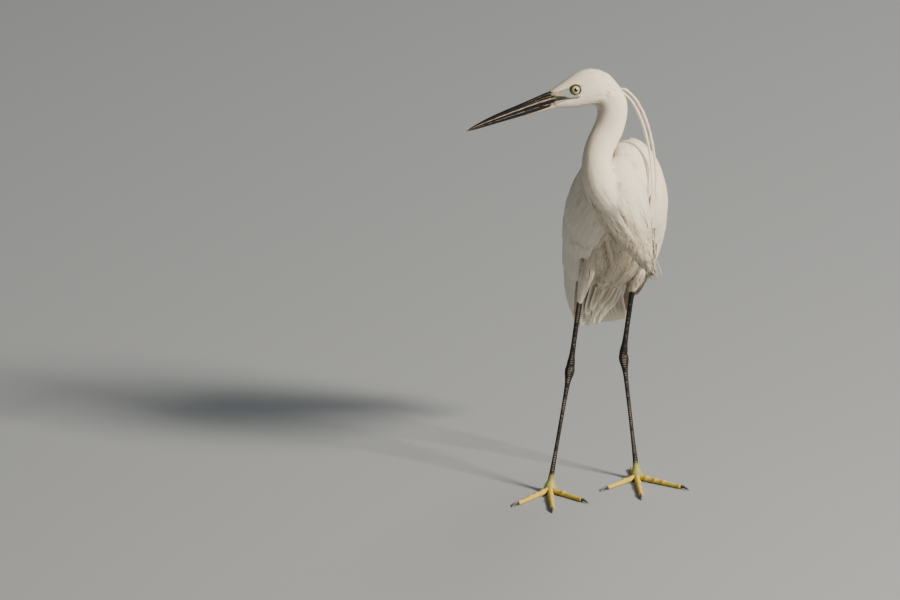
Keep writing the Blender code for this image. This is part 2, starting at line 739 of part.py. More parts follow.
def on_tail(place, wide, height):
    """Points on the tail, which arches a little from side to side."""
    place, wide, height = np.broadcast_arrays(place, wide, height)
    left, axis, back = trunk_axes()
    rise = 1.5 - 0.012 * wide**2 + height
    return TRUNK_START + axis * place[..., None] + left * wide[..., None] + back * rise[..., None]


def make_tail():
    places = np.array([TAIL_ROOT - 12, TAIL_ROOT, 202, 214, 224], float)
    wide, thick = np.array([[8, 10, 10.5, 9, 6], [6, 6.5, 5, 3.2, 1.6]], float)
    turn = np.linspace(0, 2 * np.pi, 12, endpoint=False)
    rings = on_tail(places[:, None], wide[:, None] * np.sin(turn), thick[:, None] * np.cos(turn) - 1)
    pieces = [closed_mesh("tail", rings)]
    form = np.array(FEATHER_FORM)
    for pair in range(TAIL_PAIRS):
        for sign in (-1, 1):
            offset, spread = 0.9 + 1.3 * pair, 2.6 + 4.1 * pair
            end = TAIL_TIP - 0.4 * pair - 0.3 * pair**2 - (0.9 if sign > 0 else 0)
            level = 1.1 - 0.85 * pair + (0.42 if sign > 0 else 0)

            def place_at(along, across, height):
                place = TAIL_ROOT + 4 + (end - TAIL_ROOT - 4) * along
                wide = sign * (offset + (spread - offset) * along) + across * TAIL_HALF_WIDTH
                return on_tail(place, wide, level + height)

            rings = vane_rings(form[:, 0], form[:, 1], place_at, 0.95, 0.6)
            last = place_at(np.array([[1.0]]), np.array([[0.0]]), np.array([[0.0]]))[0, 0]
            pieces.append(closed_mesh("tail_feather", rings, None, last, halves_alike=True))
    tail = fused("tail", pieces)
    painted(carved(tail, [trunk_body("body", GAP)]), "white_feathers")


def slim_plume(name, line, side, half_width, thick=1.3, count=9):
    """A long narrow plume: a four-sided tapering blade along a smooth line."""
    steps = np.linspace(0, 1, count)
    rows = spline(line, steps * (len(line) - 1))
    taper = np.interp(steps, [0, 0.1, 0.6, 0.85, 1], [0.7, 1, 0.95, 0.7, 0.4])
    rings = tube_rings(rows[:-1], side, taper[:-1] * thick / 2, taper[:-1] * half_width, 4)
    return closed_mesh(name, rings, None, rows[-1])


def make_back_plumes():
    first, last, half, thick = MANTLE
    places = np.array([first, first + 8, 52, 74, 94, last - 6, last], float)
    rise = np.array([1.2, 2.4, 3, 3, 3, 2.4, 1.2]) * thick / 3
    turn = np.radians(half) * np.array([-1, -0.5, 0, 0.5, 1.0])
    outer = bed_point(WING_BED, places[:, None], turn, 2 * GAP + rise[:, None])
    inner = bed_point(WING_BED, places[:, None], turn, GAP)
    mantle = np.concatenate([outer, inner[:, ::-1]], axis=1)
    pieces = [closed_mesh("back_plumes", mantle, strip_ends=True)]
    back = trunk_axes()[2]
    for start, end, turn_from, turn_to, rise in BACK_PLUMES:
        along = np.array([0, 0.08, 0.18, 0.35, 0.55, 0.78, 1.0])
        place = start + (end - start) * along
        turn = np.radians(turn_from + (turn_to - turn_from) * np.interp(along, [0, 0.15, 1], [0, 0.04, 1]))
        lift = np.interp(along, [0, 0.08, 0.18, 0.7, 1.0], [2.2, 6.8, 12.0, 11.8, rise])
        line = bed_point(WING_BED, place, turn, lift)
        pieces.append(slim_plume("plume", line, np.cross(trunk_axes()[1], back), BACK_PLUME_HALF_WIDTH))
    painted(fused("back_plumes", pieces), "white_feathers")


def make_crest():
    for number, side in enumerate((0.5, -0.5)):
        line = np.array(PLUME_LINE, float) + [side * PLUME_APART, 0, side * 2]
        plume = slim_plume(f"crest_plume_{number + 1}", line, (1, 0, 0.3), PLUME_HALF_WIDTH, 1.2, 15)
        plume = carved(plume, [head_body("skull", GAP)])
        plume = carved(plume, [neck_piece("neck", 5.0, 9.0, GAP)])
        painted(plume, "white_feathers")


def bone(name, start, stop, steps, radii, first_way, last_way):
    """A straight length of leg. Its end faces look along the given ways, half a gap back from its ends."""
    start, stop = start + first_way * GAP / 2, stop - last_way * GAP / 2
    line = start + (stop - start) * steps[:, None]
    ways = np.tile(unit(stop - start), (len(steps), 1))
    ways[0], ways[-1] = first_way, last_way
    return closed_mesh(name, tube_rings(line, (1, 0, 0), radii * 1.08, radii, 10, along=ways))


def thigh_body(name, letter, grow=0.0):
    rows = spline(LEGS[letter]["thigh"], np.linspace(0, 3, 8))
    line = rows[:, :3]
    rings = tube_rings(line, (1, 0, 0), rows[:, 3], rows[:, 3] * 0.92, 12, grow)
    rings[-1] += unit(line[-1] - line[-2]) * (grow - GAP / 2)
    return closed_mesh(name, rings)


def make_legs():
    for letter, leg in LEGS.items():
        upper = carved(thigh_body("thigh_" + letter, letter), [trunk_body("body", GAP)])
        painted(upper, "white_feathers")
        line = np.array(leg["thigh"], float)[:, :3]

        knee, heel, foot = line[-1], np.array(leg["heel"], float), np.array(leg["foot"], float)
        along_thigh, along_shank = unit(line[-1] - line[-2]), unit(heel - knee)
        along_tarsus = unit(foot - heel)
        at_heel = unit(along_shank + along_tarsus)
        steps, radii = np.array(SHANK_FORM).T
        shank = bone("shank_" + letter, knee, heel, steps, radii * SHANK_RADIUS, along_thigh, at_heel)
        painted(shank, "black_scales")
        steps, radii = np.array(TARSUS_FORM).T
        end = foot - along_tarsus * (PALM_HEIGHT - foot[2])
        painted(bone("tarsus_" + letter, heel, end, steps, radii, at_heel, along_tarsus), "black_scales")
        make_foot(letter, foot, along_tarsus)


def palm_body(name, foot, down, grow=0.0):
    """The foot's middle: a knob that the toes leave, drawn up into the end of the tarsus."""
    steps = np.array([0, 0.3, 0.6, 0.85, 1.0])
    top = foot - down * (PALM_HEIGHT - foot[2] - GAP)
    bottom = np.array([foot[0], foot[1], 0.6])
    line = top + (bottom - top) * steps[:, None]
    radii = np.array([2.8, 3.4, PALM_RADIUS, PALM_RADIUS, 0.85 * PALM_RADIUS])
    ways = np.tile(unit(bottom - top), (len(steps), 1))
    ways[0], ways[-1] = down, (0, 0, -1)
    rings = tube_rings(line, (1, 0, 0), radii, radii, 12, grow, along=ways)
    if grow:
        rings = np.concatenate([rings, rings[-1:] - [0, 0, 2.0]])
    return closed_mesh(name, rings)


def toe_body(name, letter, toe, foot, grow=0.0):
    """A toe with its joints swollen and a flat underneath, and the place and way of its end."""
    angle, length, joints = TOES[letter][toe]
    way = np.array([np.sin(np.radians(angle)), -np.cos(np.radians(angle)), 0.0])
    side = np.cross(way, [0, 0, 1])
    steps = np.array(sorted({0.0, 0.12, 0.9, 1.0} | {j + d for j in joints for d in (-0.08, 0.0, 0.09)}))
    swell = 1 + 0.2 * sum(np.exp(-(((steps - joint) / 0.03) ** 2)) for joint in joints)
    radii = TOE_RADIUS * (1 - 0.26 * steps) * swell
    line = np.array([foot[0], foot[1], 0.0]) + way * ((length - CLAW_LENGTH) * steps)[:, None]
    line[:, 2] = np.maximum(3.6 * (1 - steps) ** 2, radii - TOE_SINK)
    rings = tube_rings(line, side, radii, radii * 1.06, 8, grow, -grow)
    return closed_mesh(name, rings), line[-1], way, side


def make_foot(letter, foot, down):
    painted(palm_body("palm_" + letter, foot, down), "yellow_scales")
    for toe in TOES[letter]:
        body, end, way, side = toe_body(f"toe_{toe}_{letter}", letter, toe, foot)
        cutters = [palm_body("palm", foot, down, GAP)]
        if toe in ("inner", "outer"):
            cutters.append(toe_body("middle", letter, "middle", foot, GAP)[0])
        if toe == "outer":
            cutters.append(toe_body("inner", letter, "inner", foot, GAP)[0])
        painted(carved(body, cutters), "yellow_scales")
        make_claw(f"claw_{toe}_{letter}", end + way * 1.5 * GAP, way, side)


def make_claw(name, start, way, side):
    """A claw curves down from a toe's end until its point is just over the floor."""
    steps = np.array([0, 0.3, 0.6, 0.85])
    curve = start + way * (CLAW_LENGTH * steps)[:, None]
    curve[:, 2] = start[2] + np.array([0.3, 0.5, -0.15, -0.75])
    radii = np.array([1.75, 1.35, 0.85, 0.4])
    point = start + way * CLAW_LENGTH
    point[2] = 0.35
    claw = closed_mesh(name, tube_rings(curve, side, radii * 1.15, radii, 8, 0.0, 0.05), None, point)
    painted(claw, "claw_horn")


def make_everything():
    for thing in list(bpy.data.objects):
        bpy.data.objects.remove(thing)
    origin = bpy.data.objects.new("egret_origin", None)
    origin.location = CENTRE * MM
    bpy.context.scene.collection.objects.link(origin)
    make_trunk()
    make_neck()
    make_breast()
    make_head()
    make_bill()
    make_crest()
    make_wing("l")
    make_wing("r")
    make_tail()
    make_back_plumes()
    make_legs()


make_everything()
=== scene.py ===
# A little egret, life size: its plumage, bare skin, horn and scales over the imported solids.
# Shapes are worked out in millimetres in the bird's own frame, with the breast towards -Y and the
# bird's left towards +X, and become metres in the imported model's frame when a mesh is made.

import bpy
import numpy as np
from mathutils import Euler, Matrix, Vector


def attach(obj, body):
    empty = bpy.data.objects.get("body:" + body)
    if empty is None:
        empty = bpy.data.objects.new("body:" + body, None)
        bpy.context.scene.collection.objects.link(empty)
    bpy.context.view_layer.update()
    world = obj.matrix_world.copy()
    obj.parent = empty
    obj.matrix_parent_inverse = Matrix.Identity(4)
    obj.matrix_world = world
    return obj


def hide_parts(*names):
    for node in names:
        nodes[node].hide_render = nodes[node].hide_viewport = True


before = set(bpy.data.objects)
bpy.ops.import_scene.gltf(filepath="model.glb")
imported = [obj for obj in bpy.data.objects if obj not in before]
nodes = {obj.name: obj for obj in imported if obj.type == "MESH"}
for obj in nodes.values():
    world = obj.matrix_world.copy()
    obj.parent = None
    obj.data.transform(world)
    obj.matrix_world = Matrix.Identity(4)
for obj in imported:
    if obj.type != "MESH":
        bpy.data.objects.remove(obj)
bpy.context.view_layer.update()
print("frame loaded:", len(nodes), "nodes")

mm = 0.001
centre = np.array([32.0, 10.4, 0.0])  # the bird frame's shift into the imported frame

trunkFront = [  # along, half width, back, belly, aside: where body and folded wings share one shape
    (-16, 10, 13, 12, 7), (-10, 15, 21, 20, 8), (0, 21, 29.5, 30, 9), (20, 28.5, 39, 38, 9.5),
    (50, 36, 43, 44, 7), (85, 40, 42, 46, 4.5),
]
trunk = {
    "start": np.array([1.3, -85.6, 317.6]),
    "axis": np.array([-0.040, 0.680, -0.732]),
    "roll": 7.0,  # degrees
    "rows": [
        *trunkFront, (115, 37.5, 37, 44, 4), (145, 30, 29, 37, 2.5), (170, 20, 18, 24, 1),
        (188, 11, 10, 13, 0),
    ],
    "bed": [  # what the folded wings lie on
        *trunkFront, (115, 40.5, 37.5, 45, 4), (150, 37.5, 31, 42, 3), (180, 34, 24, 36, 1.5),
        (210, 29, 18, 27, 0), (240, 23, 12, 18, 0), (290, 12, 7, 8, 0),
    ],
}
headRows = [  # x towards the bill, top, bottom, half width
    (-35, 2.0, -18.0, 9.4), (-28, 8.8, -20.8, 12.4), (-20, 12.8, -21.4, 13.6), (-12, 14.0, -20.4, 13.2),
    (-3, 13.0, -18.6, 11.8), (7, 10.6, -16.3, 9.9), (16, 8.1, -13.2, 7.6), (23.6, 5.9, -10.6, 5.6),
]
headPlace = np.array([-36.7, -106.3, 397.6])
headTurn = np.array(Euler(np.radians((10.0, 18.0, 192.0)), "XYZ").to_matrix())
legRows = {
    "r": {
        "thigh": [  # x, y, z, radius
            (-17, -33, 240, 11), (-22.5, -40, 213, 9.5), (-26.5, -38, 194, 6.6), (-30.8, -34, 173.8, 3.4),
        ],
        "heel": (-38.6, -26, 112.1),
        "foot": (-57.5, -53, 7.0),
    },
    "l": {
        "thigh": [(18, -20, 232, 11), (23, -17, 210, 9.5), (22.5, -11.5, 193, 7), (17.8, -6.5, 178, 3.6)],
        "heel": (10.1, 8, 113.9),
        "foot": (22.5, -12, 7.0),
    },
}


def unit(vectors):
    return vectors / np.maximum(np.linalg.norm(vectors, axis=-1, keepdims=True), 1e-9)


# A smooth curve through the rows, read at steps of one for each row (Catmull-Rom).
def spline(rows, steps):
    rows = np.asarray(rows, float)
    steps = np.asarray(steps, float)
    ends = np.vstack([2 * rows[0] - rows[1], rows, 2 * rows[-1] - rows[-2]])
    first = np.clip(np.floor(steps).astype(int), 0, len(rows) - 2)
    part = (steps - first)[..., None]
    a, b, c, d = (ends[first + i] for i in range(4))
    bend, twist = 2 * a - 5 * b + 4 * c - d, 3 * b - a - 3 * c + d
    return 0.5 * (2 * b + (c - a) * part + bend * part**2 + twist * part**3)


# A table's columns at places along its first column, on the same smooth curve.
def profile(table, places):
    rows = np.asarray(table, float)
    fine = np.linspace(0, len(rows) - 1, 40 * len(rows))
    curve = spline(rows, fine)
    steps = np.interp(places, curve[:, 0], fine)
    return spline(rows, steps)[..., 1:]


def ease(value, low, high):  # 0 below low, 1 above high, smooth between
    part = np.clip((np.asarray(value, float) - low) / (high - low), 0, 1)
    return part * part * (3 - 2 * part)


def between(pair, part):
    return pair[0] + (pair[1] - pair[0]) * part


# Three columns of values, given at the places at, read at steps.
def readAlong(steps, at, values):
    return np.stack([np.interp(steps, at, values[:, i]) for i in range(3)], -1)


def headToBird(points):
    return np.asarray(points, float) @ headTurn.T + headPlace


def birdToHead(points):
    return (np.asarray(points, float) - headPlace) @ headTurn


def trunkAxes():  # the trunk's left, its axis to the tail, and its back
    axis = unit(trunk["axis"])
    left = unit(np.cross(axis, [0, 0, 1]))
    back = np.cross(left, axis)
    turn = np.radians(trunk["roll"])
    return left * np.cos(turn) + back * np.sin(turn), axis, back * np.cos(turn) - left * np.sin(turn)


# Points round the trunk: place along its axis, turn from the back to the left side and the belly. Each
# cross section is half an ellipse for the back and half an ellipse for the belly, both of one width.
def bedPoint(rows, place, turn, lift=0.0):
    place, turn, lift = np.broadcast_arrays(np.asarray(place, float), turn, lift)
    left, axis, back = trunkAxes()
    wide, high, low, aside = np.moveaxis(profile(rows, place), -1, 0)
    rise = np.where(np.cos(turn) > 0, high, low) + lift
    return (
        trunk["start"]
        + axis * place[..., None]
        + left * (aside + (wide + lift) * np.sin(turn))[..., None]
        + back * (rise * np.cos(turn))[..., None]
    )


def trunkPlace(points, rows=trunk["rows"]):  # the same surface's place and turn, worked back from points
    left, axis, back = trunkAxes()
    away = points - trunk["start"]
    place = away @ axis
    wide, high, low, aside = np.moveaxis(profile(rows, place), -1, 0)
    across, rise = (away @ left - aside) / wide, away @ back
    turn = np.arctan2(across, rise / np.where(rise > 0, high, low))
    return place, turn


# The unrolled trunk as a map: across is the turn round it, up is the place along it.
def trunkMap(place, turn, before):
    return np.stack([turn / (2 * np.pi) + 0.5, (place + before) / 320], -1)


# One mesh from points in the bird's frame. quads and tris index the points; fields are stored on them,
# and so are the ways its points shade, where normals are given.
def buildMesh(name, points, quads=None, tris=None, fields=None, sharp=None, normals=None):
    quads = np.zeros((0, 4), int) if quads is None else np.asarray(quads).reshape(-1, 4)
    tris = np.zeros((0, 3), int) if tris is None else np.asarray(tris).reshape(-1, 3)
    corners = np.concatenate([quads.ravel(), tris.ravel()]).astype(np.int32)
    sizes = np.concatenate([np.full(len(quads), 4), np.full(len(tris), 3)]).astype(np.int32)
    mesh = bpy.data.meshes.new(name)
    mesh.vertices.add(len(points))
    mesh.vertices.foreach_set("co", ((points + centre) * mm).astype(np.float32).ravel())
    mesh.loops.add(len(corners))
    mesh.loops.foreach_set("vertex_index", corners)
    mesh.polygons.add(len(sizes))
    mesh.polygons.foreach_set("loop_start", (np.cumsum(sizes) - sizes).astype(np.int32))
    mesh.update(calc_edges=True)
    mesh.validate()
    for label, values in (fields or {}).items():
        layer = mesh.attributes.new(label, "FLOAT", "POINT")
        layer.data.foreach_set("value", np.asarray(values, np.float32).ravel())
    mesh.shade_smooth()
    if normals is not None:
        mesh.normals_split_custom_set_from_vertices(normals.astype(np.float32))
    elif sharp is not None:
        mesh.set_sharp_from_angle(angle=np.radians(sharp))
    thing = bpy.data.objects.new(name, mesh)
    bpy.context.scene.collection.objects.link(thing)
    return thing


def setMap(thing, pointMap):  # a UV map from one place for each point
    layer = thing.data.uv_layers.new(name="OFBake")
    corner = np.zeros(len(thing.data.loops), np.int32)
    thing.data.loops.foreach_get("vertex_index", corner)
    layer.data.foreach_set("uv", pointMap[corner].astype(np.float32).ravel())


# Index lists of a grid of rows whose points go round: quads between rows, fans over both ends.
def tubeFaces(rows, size, base=0):
    i, j = np.meshgrid(np.arange(rows - 1), np.arange(size), indexing="ij")
    k = (j + 1) % size
    quads = np.stack([i * size + j, i * size + k, (i + 1) * size + k, (i + 1) * size + j], -1).reshape(-1, 4)
    j = np.arange(size)
    k, last, head, tail = (j + 1) % size, (rows - 1) * size, rows * size, rows * size + 1
    tris = np.concatenate([
        np.stack([np.full(size, head), k, j], -1),
        np.stack([np.full(size, tail), last + j, last + k], -1),
    ])
    return quads + base, tris + base


# A closed tube surface from a grid (rows, round, xyz), turned outwards if its volume says otherwise.
def tube(name, grid, start=None, end=None, fields=None, sharp=None):
    rows, size = grid.shape[:2]
    start = grid[0].mean(axis=0) if start is None else start
    end = grid[-1].mean(axis=0) if end is None else end
    points = np.vstack([grid.reshape(-1, 3), start, end])
    quads, tris = tubeFaces(rows, size)
    a, b, c, d = (points[quads[:, i]] for i in range(4))
    volume = np.einsum("ij,ij->i", a, np.cross(b, c) + np.cross(c, d)).sum()
    if volume < 0:
        quads, tris = quads[:, ::-1], tris[:, ::-1]
    made = {}
    for label, values in (fields or {}).items():
        values = np.broadcast_to(values, grid.shape[:2])
        made[label] = np.concatenate([values.ravel(), [values[0].mean(), values[-1].mean()]])
    return buildMesh(name, points, quads, tris, made, sharp)


# Rings of an oval tube along a line; side is kept as its wide way.
def tubeGrid(line, side, deep, wide, size):
    along = unit(np.gradient(line, axis=0))
    side = np.broadcast_to(np.asarray(side, float), line.shape)
    across = unit(side - (side * along).sum(axis=1, keepdims=True) * along)
    other = np.cross(along, across)
    turn = np.linspace(0, 2 * np.pi, size, endpoint=False)
    deep, wide = (np.broadcast_to(v, len(line)) for v in (deep, wide))
    deep = deep[:, None, None] * np.cos(turn)[None, :, None]
    wide = wide[:, None, None] * np.sin(turn)[None, :, None]
    return line[:, None, :] + other[:, None, :] * deep + across[:, None, :] * wide


def finishPiece(thing, slot, finish=None, *replaced):  # replaced: the solids that it stands for
    if finish:
        thing.data.materials.append(finish)
    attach(thing, "root")
    if replaced:
        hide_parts(*replaced)


def joined(name, things):  # one object from several
    with bpy.context.temp_override(active_object=things[0], selected_editable_objects=things):
        bpy.ops.object.join()
    things[0].name = things[0].data.name = name
    return things[0]


class Signal:  # a socket's value in sums: each sum adds its Math node
    def __init__(self, finish, socket):
        self.finish, self.socket = finish, socket

    def sum(self, operation, *values):
        return self.finish.node("Math", {"operation": operation}, dict(enumerate(values)))

    def __add__(self, other):
        return self.sum("ADD", self, other)

    def __radd__(self, other):
        return self.sum("ADD", other, self)

    def __sub__(self, other):
        return self.sum("SUBTRACT", self, other)

    def __rsub__(self, other):
        return self.sum("SUBTRACT", other, self)

    def __mul__(self, other):
        return self.sum("MULTIPLY", self, other)

    def __rmul__(self, other):
        return self.sum("MULTIPLY", other, self)

    def sine(self):
        return self.sum("SINE", self)

    def size(self):
        return self.sum("ABSOLUTE", self)

    def over(self, low, high):  # 0 below low, 1 above high
        inputs = {0: self, 1: low, 2: high}
        return self.finish.node("MapRange", {"interpolation_type": "SMOOTHSTEP", "clamp": True}, inputs)


class Finish:  # one material; its nodes come from one method
    def __init__(self, name, roughness, coat=0.0):
        self.material = bpy.data.materials.new(name)
        self.material.use_nodes = True
        self.tree = self.material.node_tree
        self.shader = self.tree.nodes["Principled BSDF"]
        self.shader.inputs["Roughness"].default_value = roughness
        self.shader.inputs["Coat Weight"].default_value = coat
        self.shader.inputs["Coat Roughness"].default_value = 0.06

    def node(self, kind, settings=None, inputs=None, output=0):
        made = self.tree.nodes.new("ShaderNode" + kind)
        for label, value in (settings or {}).items():
            setattr(made, label, value)
        for label, value in (inputs or {}).items():
            if isinstance(value, Signal):
                self.tree.links.new(value.socket, made.inputs[label])
            else:
                made.inputs[label].default_value = value
        return Signal(self, made.outputs[output])

    def put(self, label, value):
        if isinstance(value, Signal):
            self.tree.links.new(value.socket, self.shader.inputs[label])
        else:
            self.shader.inputs[label].default_value = value

    def field(self, label):
        return self.node("Attribute", {"attribute_name": label}, output="Fac")

    def place(self):
        return self.node("TexCoord", output="Object")

    def noise(self, where, scale, detail=3.0):
        return self.node("TexNoise", {}, {"Vector": where, "Scale": scale, "Detail": detail})

    def mix(self, factor, low, high):
        low, high = ((*c, 1.0) if isinstance(c, tuple) else c for c in (low, high))
        return self.node("Mix", {"data_type": "RGBA"}, {0: factor, 6: low, 7: high}, output=2)

    def bump(self, height, strength, distance):
        made = self.node("Bump", {}, {"Height": height, "Strength": strength, "Distance": distance})
        self.put("Normal", made)


# White plumage: beige shows at the roots, and painted shade between locks, at the jaw, in the pit beside the
# neck, in the breast's streaks and on the belly, as much as the field for beige and painted shade says, and
# no two tufts are quite alike. Long feathers have a shaft, barbs that run out from it, paler edges, painted
# shade along the edge that the next one covers, and on the tail a brown painted shade in their middles.
plumage = {
    "tip": (0.82, 0.73, 0.585),
    # the roots' beige, also the colour of painted shade between locks, at the jaw, in the pit and on the
    # belly
    "root": (0.30, 0.2, 0.085),
    "cool": (0.74, 0.685, 0.59),
    "edge": (0.90, 0.86, 0.78),
    "barb": (0.60, 0.55, 0.46),
    "base": (0.66, 0.60, 0.50),
    # painted shade along the edge that the next feather covers
    "overlapShade": (0.60, 0.57, 0.52),
    # painted shade, a brown, in the tail feathers' middles
    "middleShade": (0.30, 0.23, 0.135),
    "shaft": (0.72, 0.66, 0.52),
    "down": ((0.74, 0.67, 0.55), (0.84, 0.78, 0.68)),
}


def plumageFinish(name):
    made = Finish(name, 0.75)
    along, tint, beige = made.field("along"), made.field("tint"), made.field("beige")
    where = made.place()
    patches = made.noise(where, 25.0, 3.0)
    # how far towards the dark root colour: beige tone, and painted shade where the field asks for it
    deep = beige * (1.0 - along.over(0.3, 1.0) * 0.4) * (0.55 + patches * 0.9)
    colour = made.mix((tint * 0.6 + patches * 0.5).over(0.4, 1.0) * 0.4, plumage["tip"], plumage["cool"])
    made.put("Base Color", made.mix(deep.over(0.0, 1.1), colour, plumage["root"]))
    made.put("Roughness", 0.62 + patches * 0.25)
    return made.material


def flightFinish(name, middleShade=0.0):  # how much painted shade, a brown, darkens the feathers' middles
    made = Finish(name, 0.6)
    along, across, tint = made.field("along"), made.field("across"), made.field("tint")
    where = made.place()
    patches = made.noise(where, 30.0, 3.0)
    away = across.size()
    barbs = ((along * 60.0 - away * 7.0) * 6.28 + patches * 3.0).sine()
    colour = made.mix((tint * 0.5 + patches * 0.5).over(0.3, 0.9) * 0.5, plumage["tip"], plumage["cool"])
    colour = made.mix((0.5 + barbs * 0.5) * 0.16, colour, plumage["barb"])
    colour = made.mix((1.0 - along.over(0.55, 0.95)) * 0.35, colour, plumage["base"])
    # painted shade along the edge that the next feather covers
    colour = made.mix((0.0 - across).over(0.45, 1.0) * 0.4, colour, plumage["overlapShade"])
    # painted shade in the middles, less towards the edges and the tip
    dim = (1.0 - away.over(0.45, 0.95)) * (1.0 - along.over(0.72, 0.97)) * (0.6 + patches * 0.8)
    colour = made.mix(dim * middleShade, colour, plumage["middleShade"])
    colour = made.mix(away.over(0.86, 0.97) * 0.5, colour, plumage["edge"])
    made.put("Base Color", made.mix((1.0 - away.over(0.03, 0.09)) * 0.5, colour, plumage["shaft"]))
    made.put("Roughness", 0.5 + patches * 0.2)
    made.bump(barbs * 0.5 + made.noise(where, 900.0, 2.0) * 0.4, 0.3, 0.00015)
    return made.material


def skinFinish():
    made = Finish("plumage_down", 0.8)
    where = made.place()
    made.put("Base Color", made.mix(made.noise(where, 60.0, 4.0), *plumage["down"]))
    made.bump(made.noise(where, 1100.0, 3.0), 0.4, 0.0004)
    return made.material


finishes = {
    "plume": plumageFinish("plumage_small"),
    "flight": flightFinish("plumage_flight"),
    "tail": flightFinish("plumage_tail", 0.75),
    "down": skinFinish(),
}
print("plumage finishes made")

# The camera looks from in front and above, as the photo's does, from far away with a long lens.
view = {
    "elevation": 16.0,  # degrees
    "away": 15.0,
    "frameWidth": 900 * 0.92 * mm,  # metres across the photo's frame
    "middle": (450, 300),  # the frame's middle, in the photo's pixels
    "floorUnder": (612, 475.4),  # where the bird frame's origin is in the photo
}


def makeView():
    tilt = np.radians(view["elevation"])
    size = view["frameWidth"] / 900
    aside = (view["middle"][0] - view["floorUnder"][0]) * size
    above = (view["floorUnder"][1] - view["middle"][1]) * size
    target = Vector(centre * mm) + Vector((aside, np.sin(tilt) * above, np.cos(tilt) * above))
    back = Vector((0, -np.cos(tilt), np.sin(tilt)))
    camera = bpy.data.objects.new("camera", bpy.data.cameras.new("camera"))
    bpy.context.scene.collection.objects.link(camera)
    camera.location = target + back * view["away"]
    camera.rotation_mode = "QUATERNION"
    camera.rotation_quaternion = (-back).to_track_quat("-Z", "Y")
    camera.data.sensor_width = 36
    camera.data.lens = 36 * view["away"] / view["frameWidth"]
    camera.data.clip_end = 200
    bpy.context.scene.camera = camera


# A soft warm key light from the bird's left front, a wide fill, one from behind, and a pale surrounding.
lights = {
    "key": {"from": (2.9, -2.1, 2.3), "size": 0.8, "power": 380, "colour": (1.0, 0.91, 0.77)},
    "fill": {"from": (-2.4, -1.8, 1.6), "size": 2.6, "power": 6, "colour": (0.88, 0.93, 1.0)},
    "rim": {"from": (1.2, 2.4, 2.2), "size": 1.4, "power": 34, "colour": (1.0, 0.97, 0.92)},
    "surround": (0.88, 0.92, 0.97),
    "surroundPower": 0.14,
}


def makeLights():
    for name in ("key", "fill", "rim"):
        light = lights[name]
        data = bpy.data.lights.new(name, "AREA")
        data.energy, data.size, data.color = light["power"], light["size"], light["colour"]
        lamp = bpy.data.objects.new(name, data)
        bpy.context.scene.collection.objects.link(lamp)
        lamp.location = light["from"]
        lamp.rotation_mode = "QUATERNION"
        lamp.rotation_quaternion = (Vector((0, 0, 0.24)) - lamp.location).to_track_quat("-Z", "Y")
    world = bpy.data.worlds.new("surround")
    bpy.context.scene.world = world
    world.use_nodes = True
    ground = world.node_tree.nodes["Background"]
    ground.inputs["Color"].default_value = (*lights["surround"], 1.0)
    ground.inputs["Strength"].default_value = lights["surroundPower"]


stage = {"reach": 40000.0, "below": 0.2, "colour": (0.30, 0.32, 0.34, 1.0)}


def makeFloor():
    corners = np.array([(-1, -1, 0), (1, -1, 0), (1, 1, 0), (-1, 1, 0)]) * stage["reach"]
    floor = buildMesh("floor", corners - [0, 0, stage["below"]], quads=[[0, 1, 2, 3]])
    finish = Finish("floor_plain", 0.9)
    finish.put("Base Color", stage["colour"])
    floor.data.materials.append(finish.material)


makeView()
makeLights()
makeFloor()
print("camera, lights and floor made")


# The folded wings: a smooth pad each, which the feathers lie on. Places run along the trunk's axis.
wings = {
    "drop": {"l": 0.0, "r": 19.0},
    "flare": {"l": 0.0, "r": 5.0},
    "thick": [
        (-14, 1.6), (-6, 3.6), (10, 6.2), (40, 7), (80, 6), (120, 4.6), (160, 3.4), (210, 2.4), (280, 1.6),
    ],
    "edge": [  # the outer edge's turn in degrees
        (-14, 70), (-4, 102), (10, 124), (28, 138), (50, 140), (75, 134), (100, 124), (130, 118), (160, 112),
        (200, 104), (240, 86), (262, 66),
    ],
    "top": [(-14, 44), (-4, 26), (12, 15), (225, 15), (262, 34)],
    "inner": 1.2,  # how high a wing's inner face lies over the bed
    "pad": (-14, 168),
    "seed": {"l": 11, "r": 12},
}


def wingEdges(place):  # the turns of its top and its outer edge, straight between the rows
    return [np.radians(np.interp(place, *np.array(wings[key]).T)) for key in ("top", "edge")]


# The pad's height over the bed: its thickness there, times a rounded step of the share from its top to
# its edge, which is the root of one less the cube of the distance from the middle.
def wingLift(place, turn):
    top, edge = wingEdges(place)
    part = np.clip((turn - top) / (edge - top), 0, 1)
    thick = np.interp(place, *np.array(wings["thick"]).T)
    full = thick * (0.42 + 0.58 * np.sqrt(np.clip(1 - np.abs(2 * part - 1) ** 3, 0, 1)))
    return np.maximum(full, wings["inner"] + 1.2)


# A wing's own place and turn on the bed: the right one lies lower, and flares out evenly to its end.
def wingPoint(letter, place, turn, lift):
    away = wings["flare"][letter] * np.clip((place - 90) / 110, 0, 1)
    side = 1 if letter == "l" else -1
    return bedPoint(trunk["bed"], place + wings["drop"][letter], side * turn, lift + away)


def wingPad(letter, outward, inward):
    places = np.linspace(*wings["pad"], 70)
    top, edge = wingEdges(places)
    turn = top[:, None] + (edge - top)[:, None] * np.linspace(0, 1, 41)
    outer = wingPoint(letter, places[:, None], turn, wingLift(places[:, None], turn) + outward)
    inner = wingPoint(letter, places[:, None], turn[:, ::-1], inward)
    return tube("wing_pad", np.concatenate([outer, inner], axis=1))


# The mantle's pad: a low pillow that eases in and out along its length, and falls off to both sides with
# the fourth power of the turn.
mantle = {
    "from": 26,
    "to": 116,
    "half": 12.0,  # degrees
    "lift": 2.0,
    "round": 0.42,  # how far round to each side its feathers grow
    "ends": (14, 120),  # where along the trunk they do
    "density": 0.20,
    "length": (8, 0.12),  # at place 0, and more for each mm along
    "width": (2.6, 3.8),
    "rise": (0.9, 1.9),
    "cling": 0.9,
    "beige": 0.3,
    "seed": 41,
}


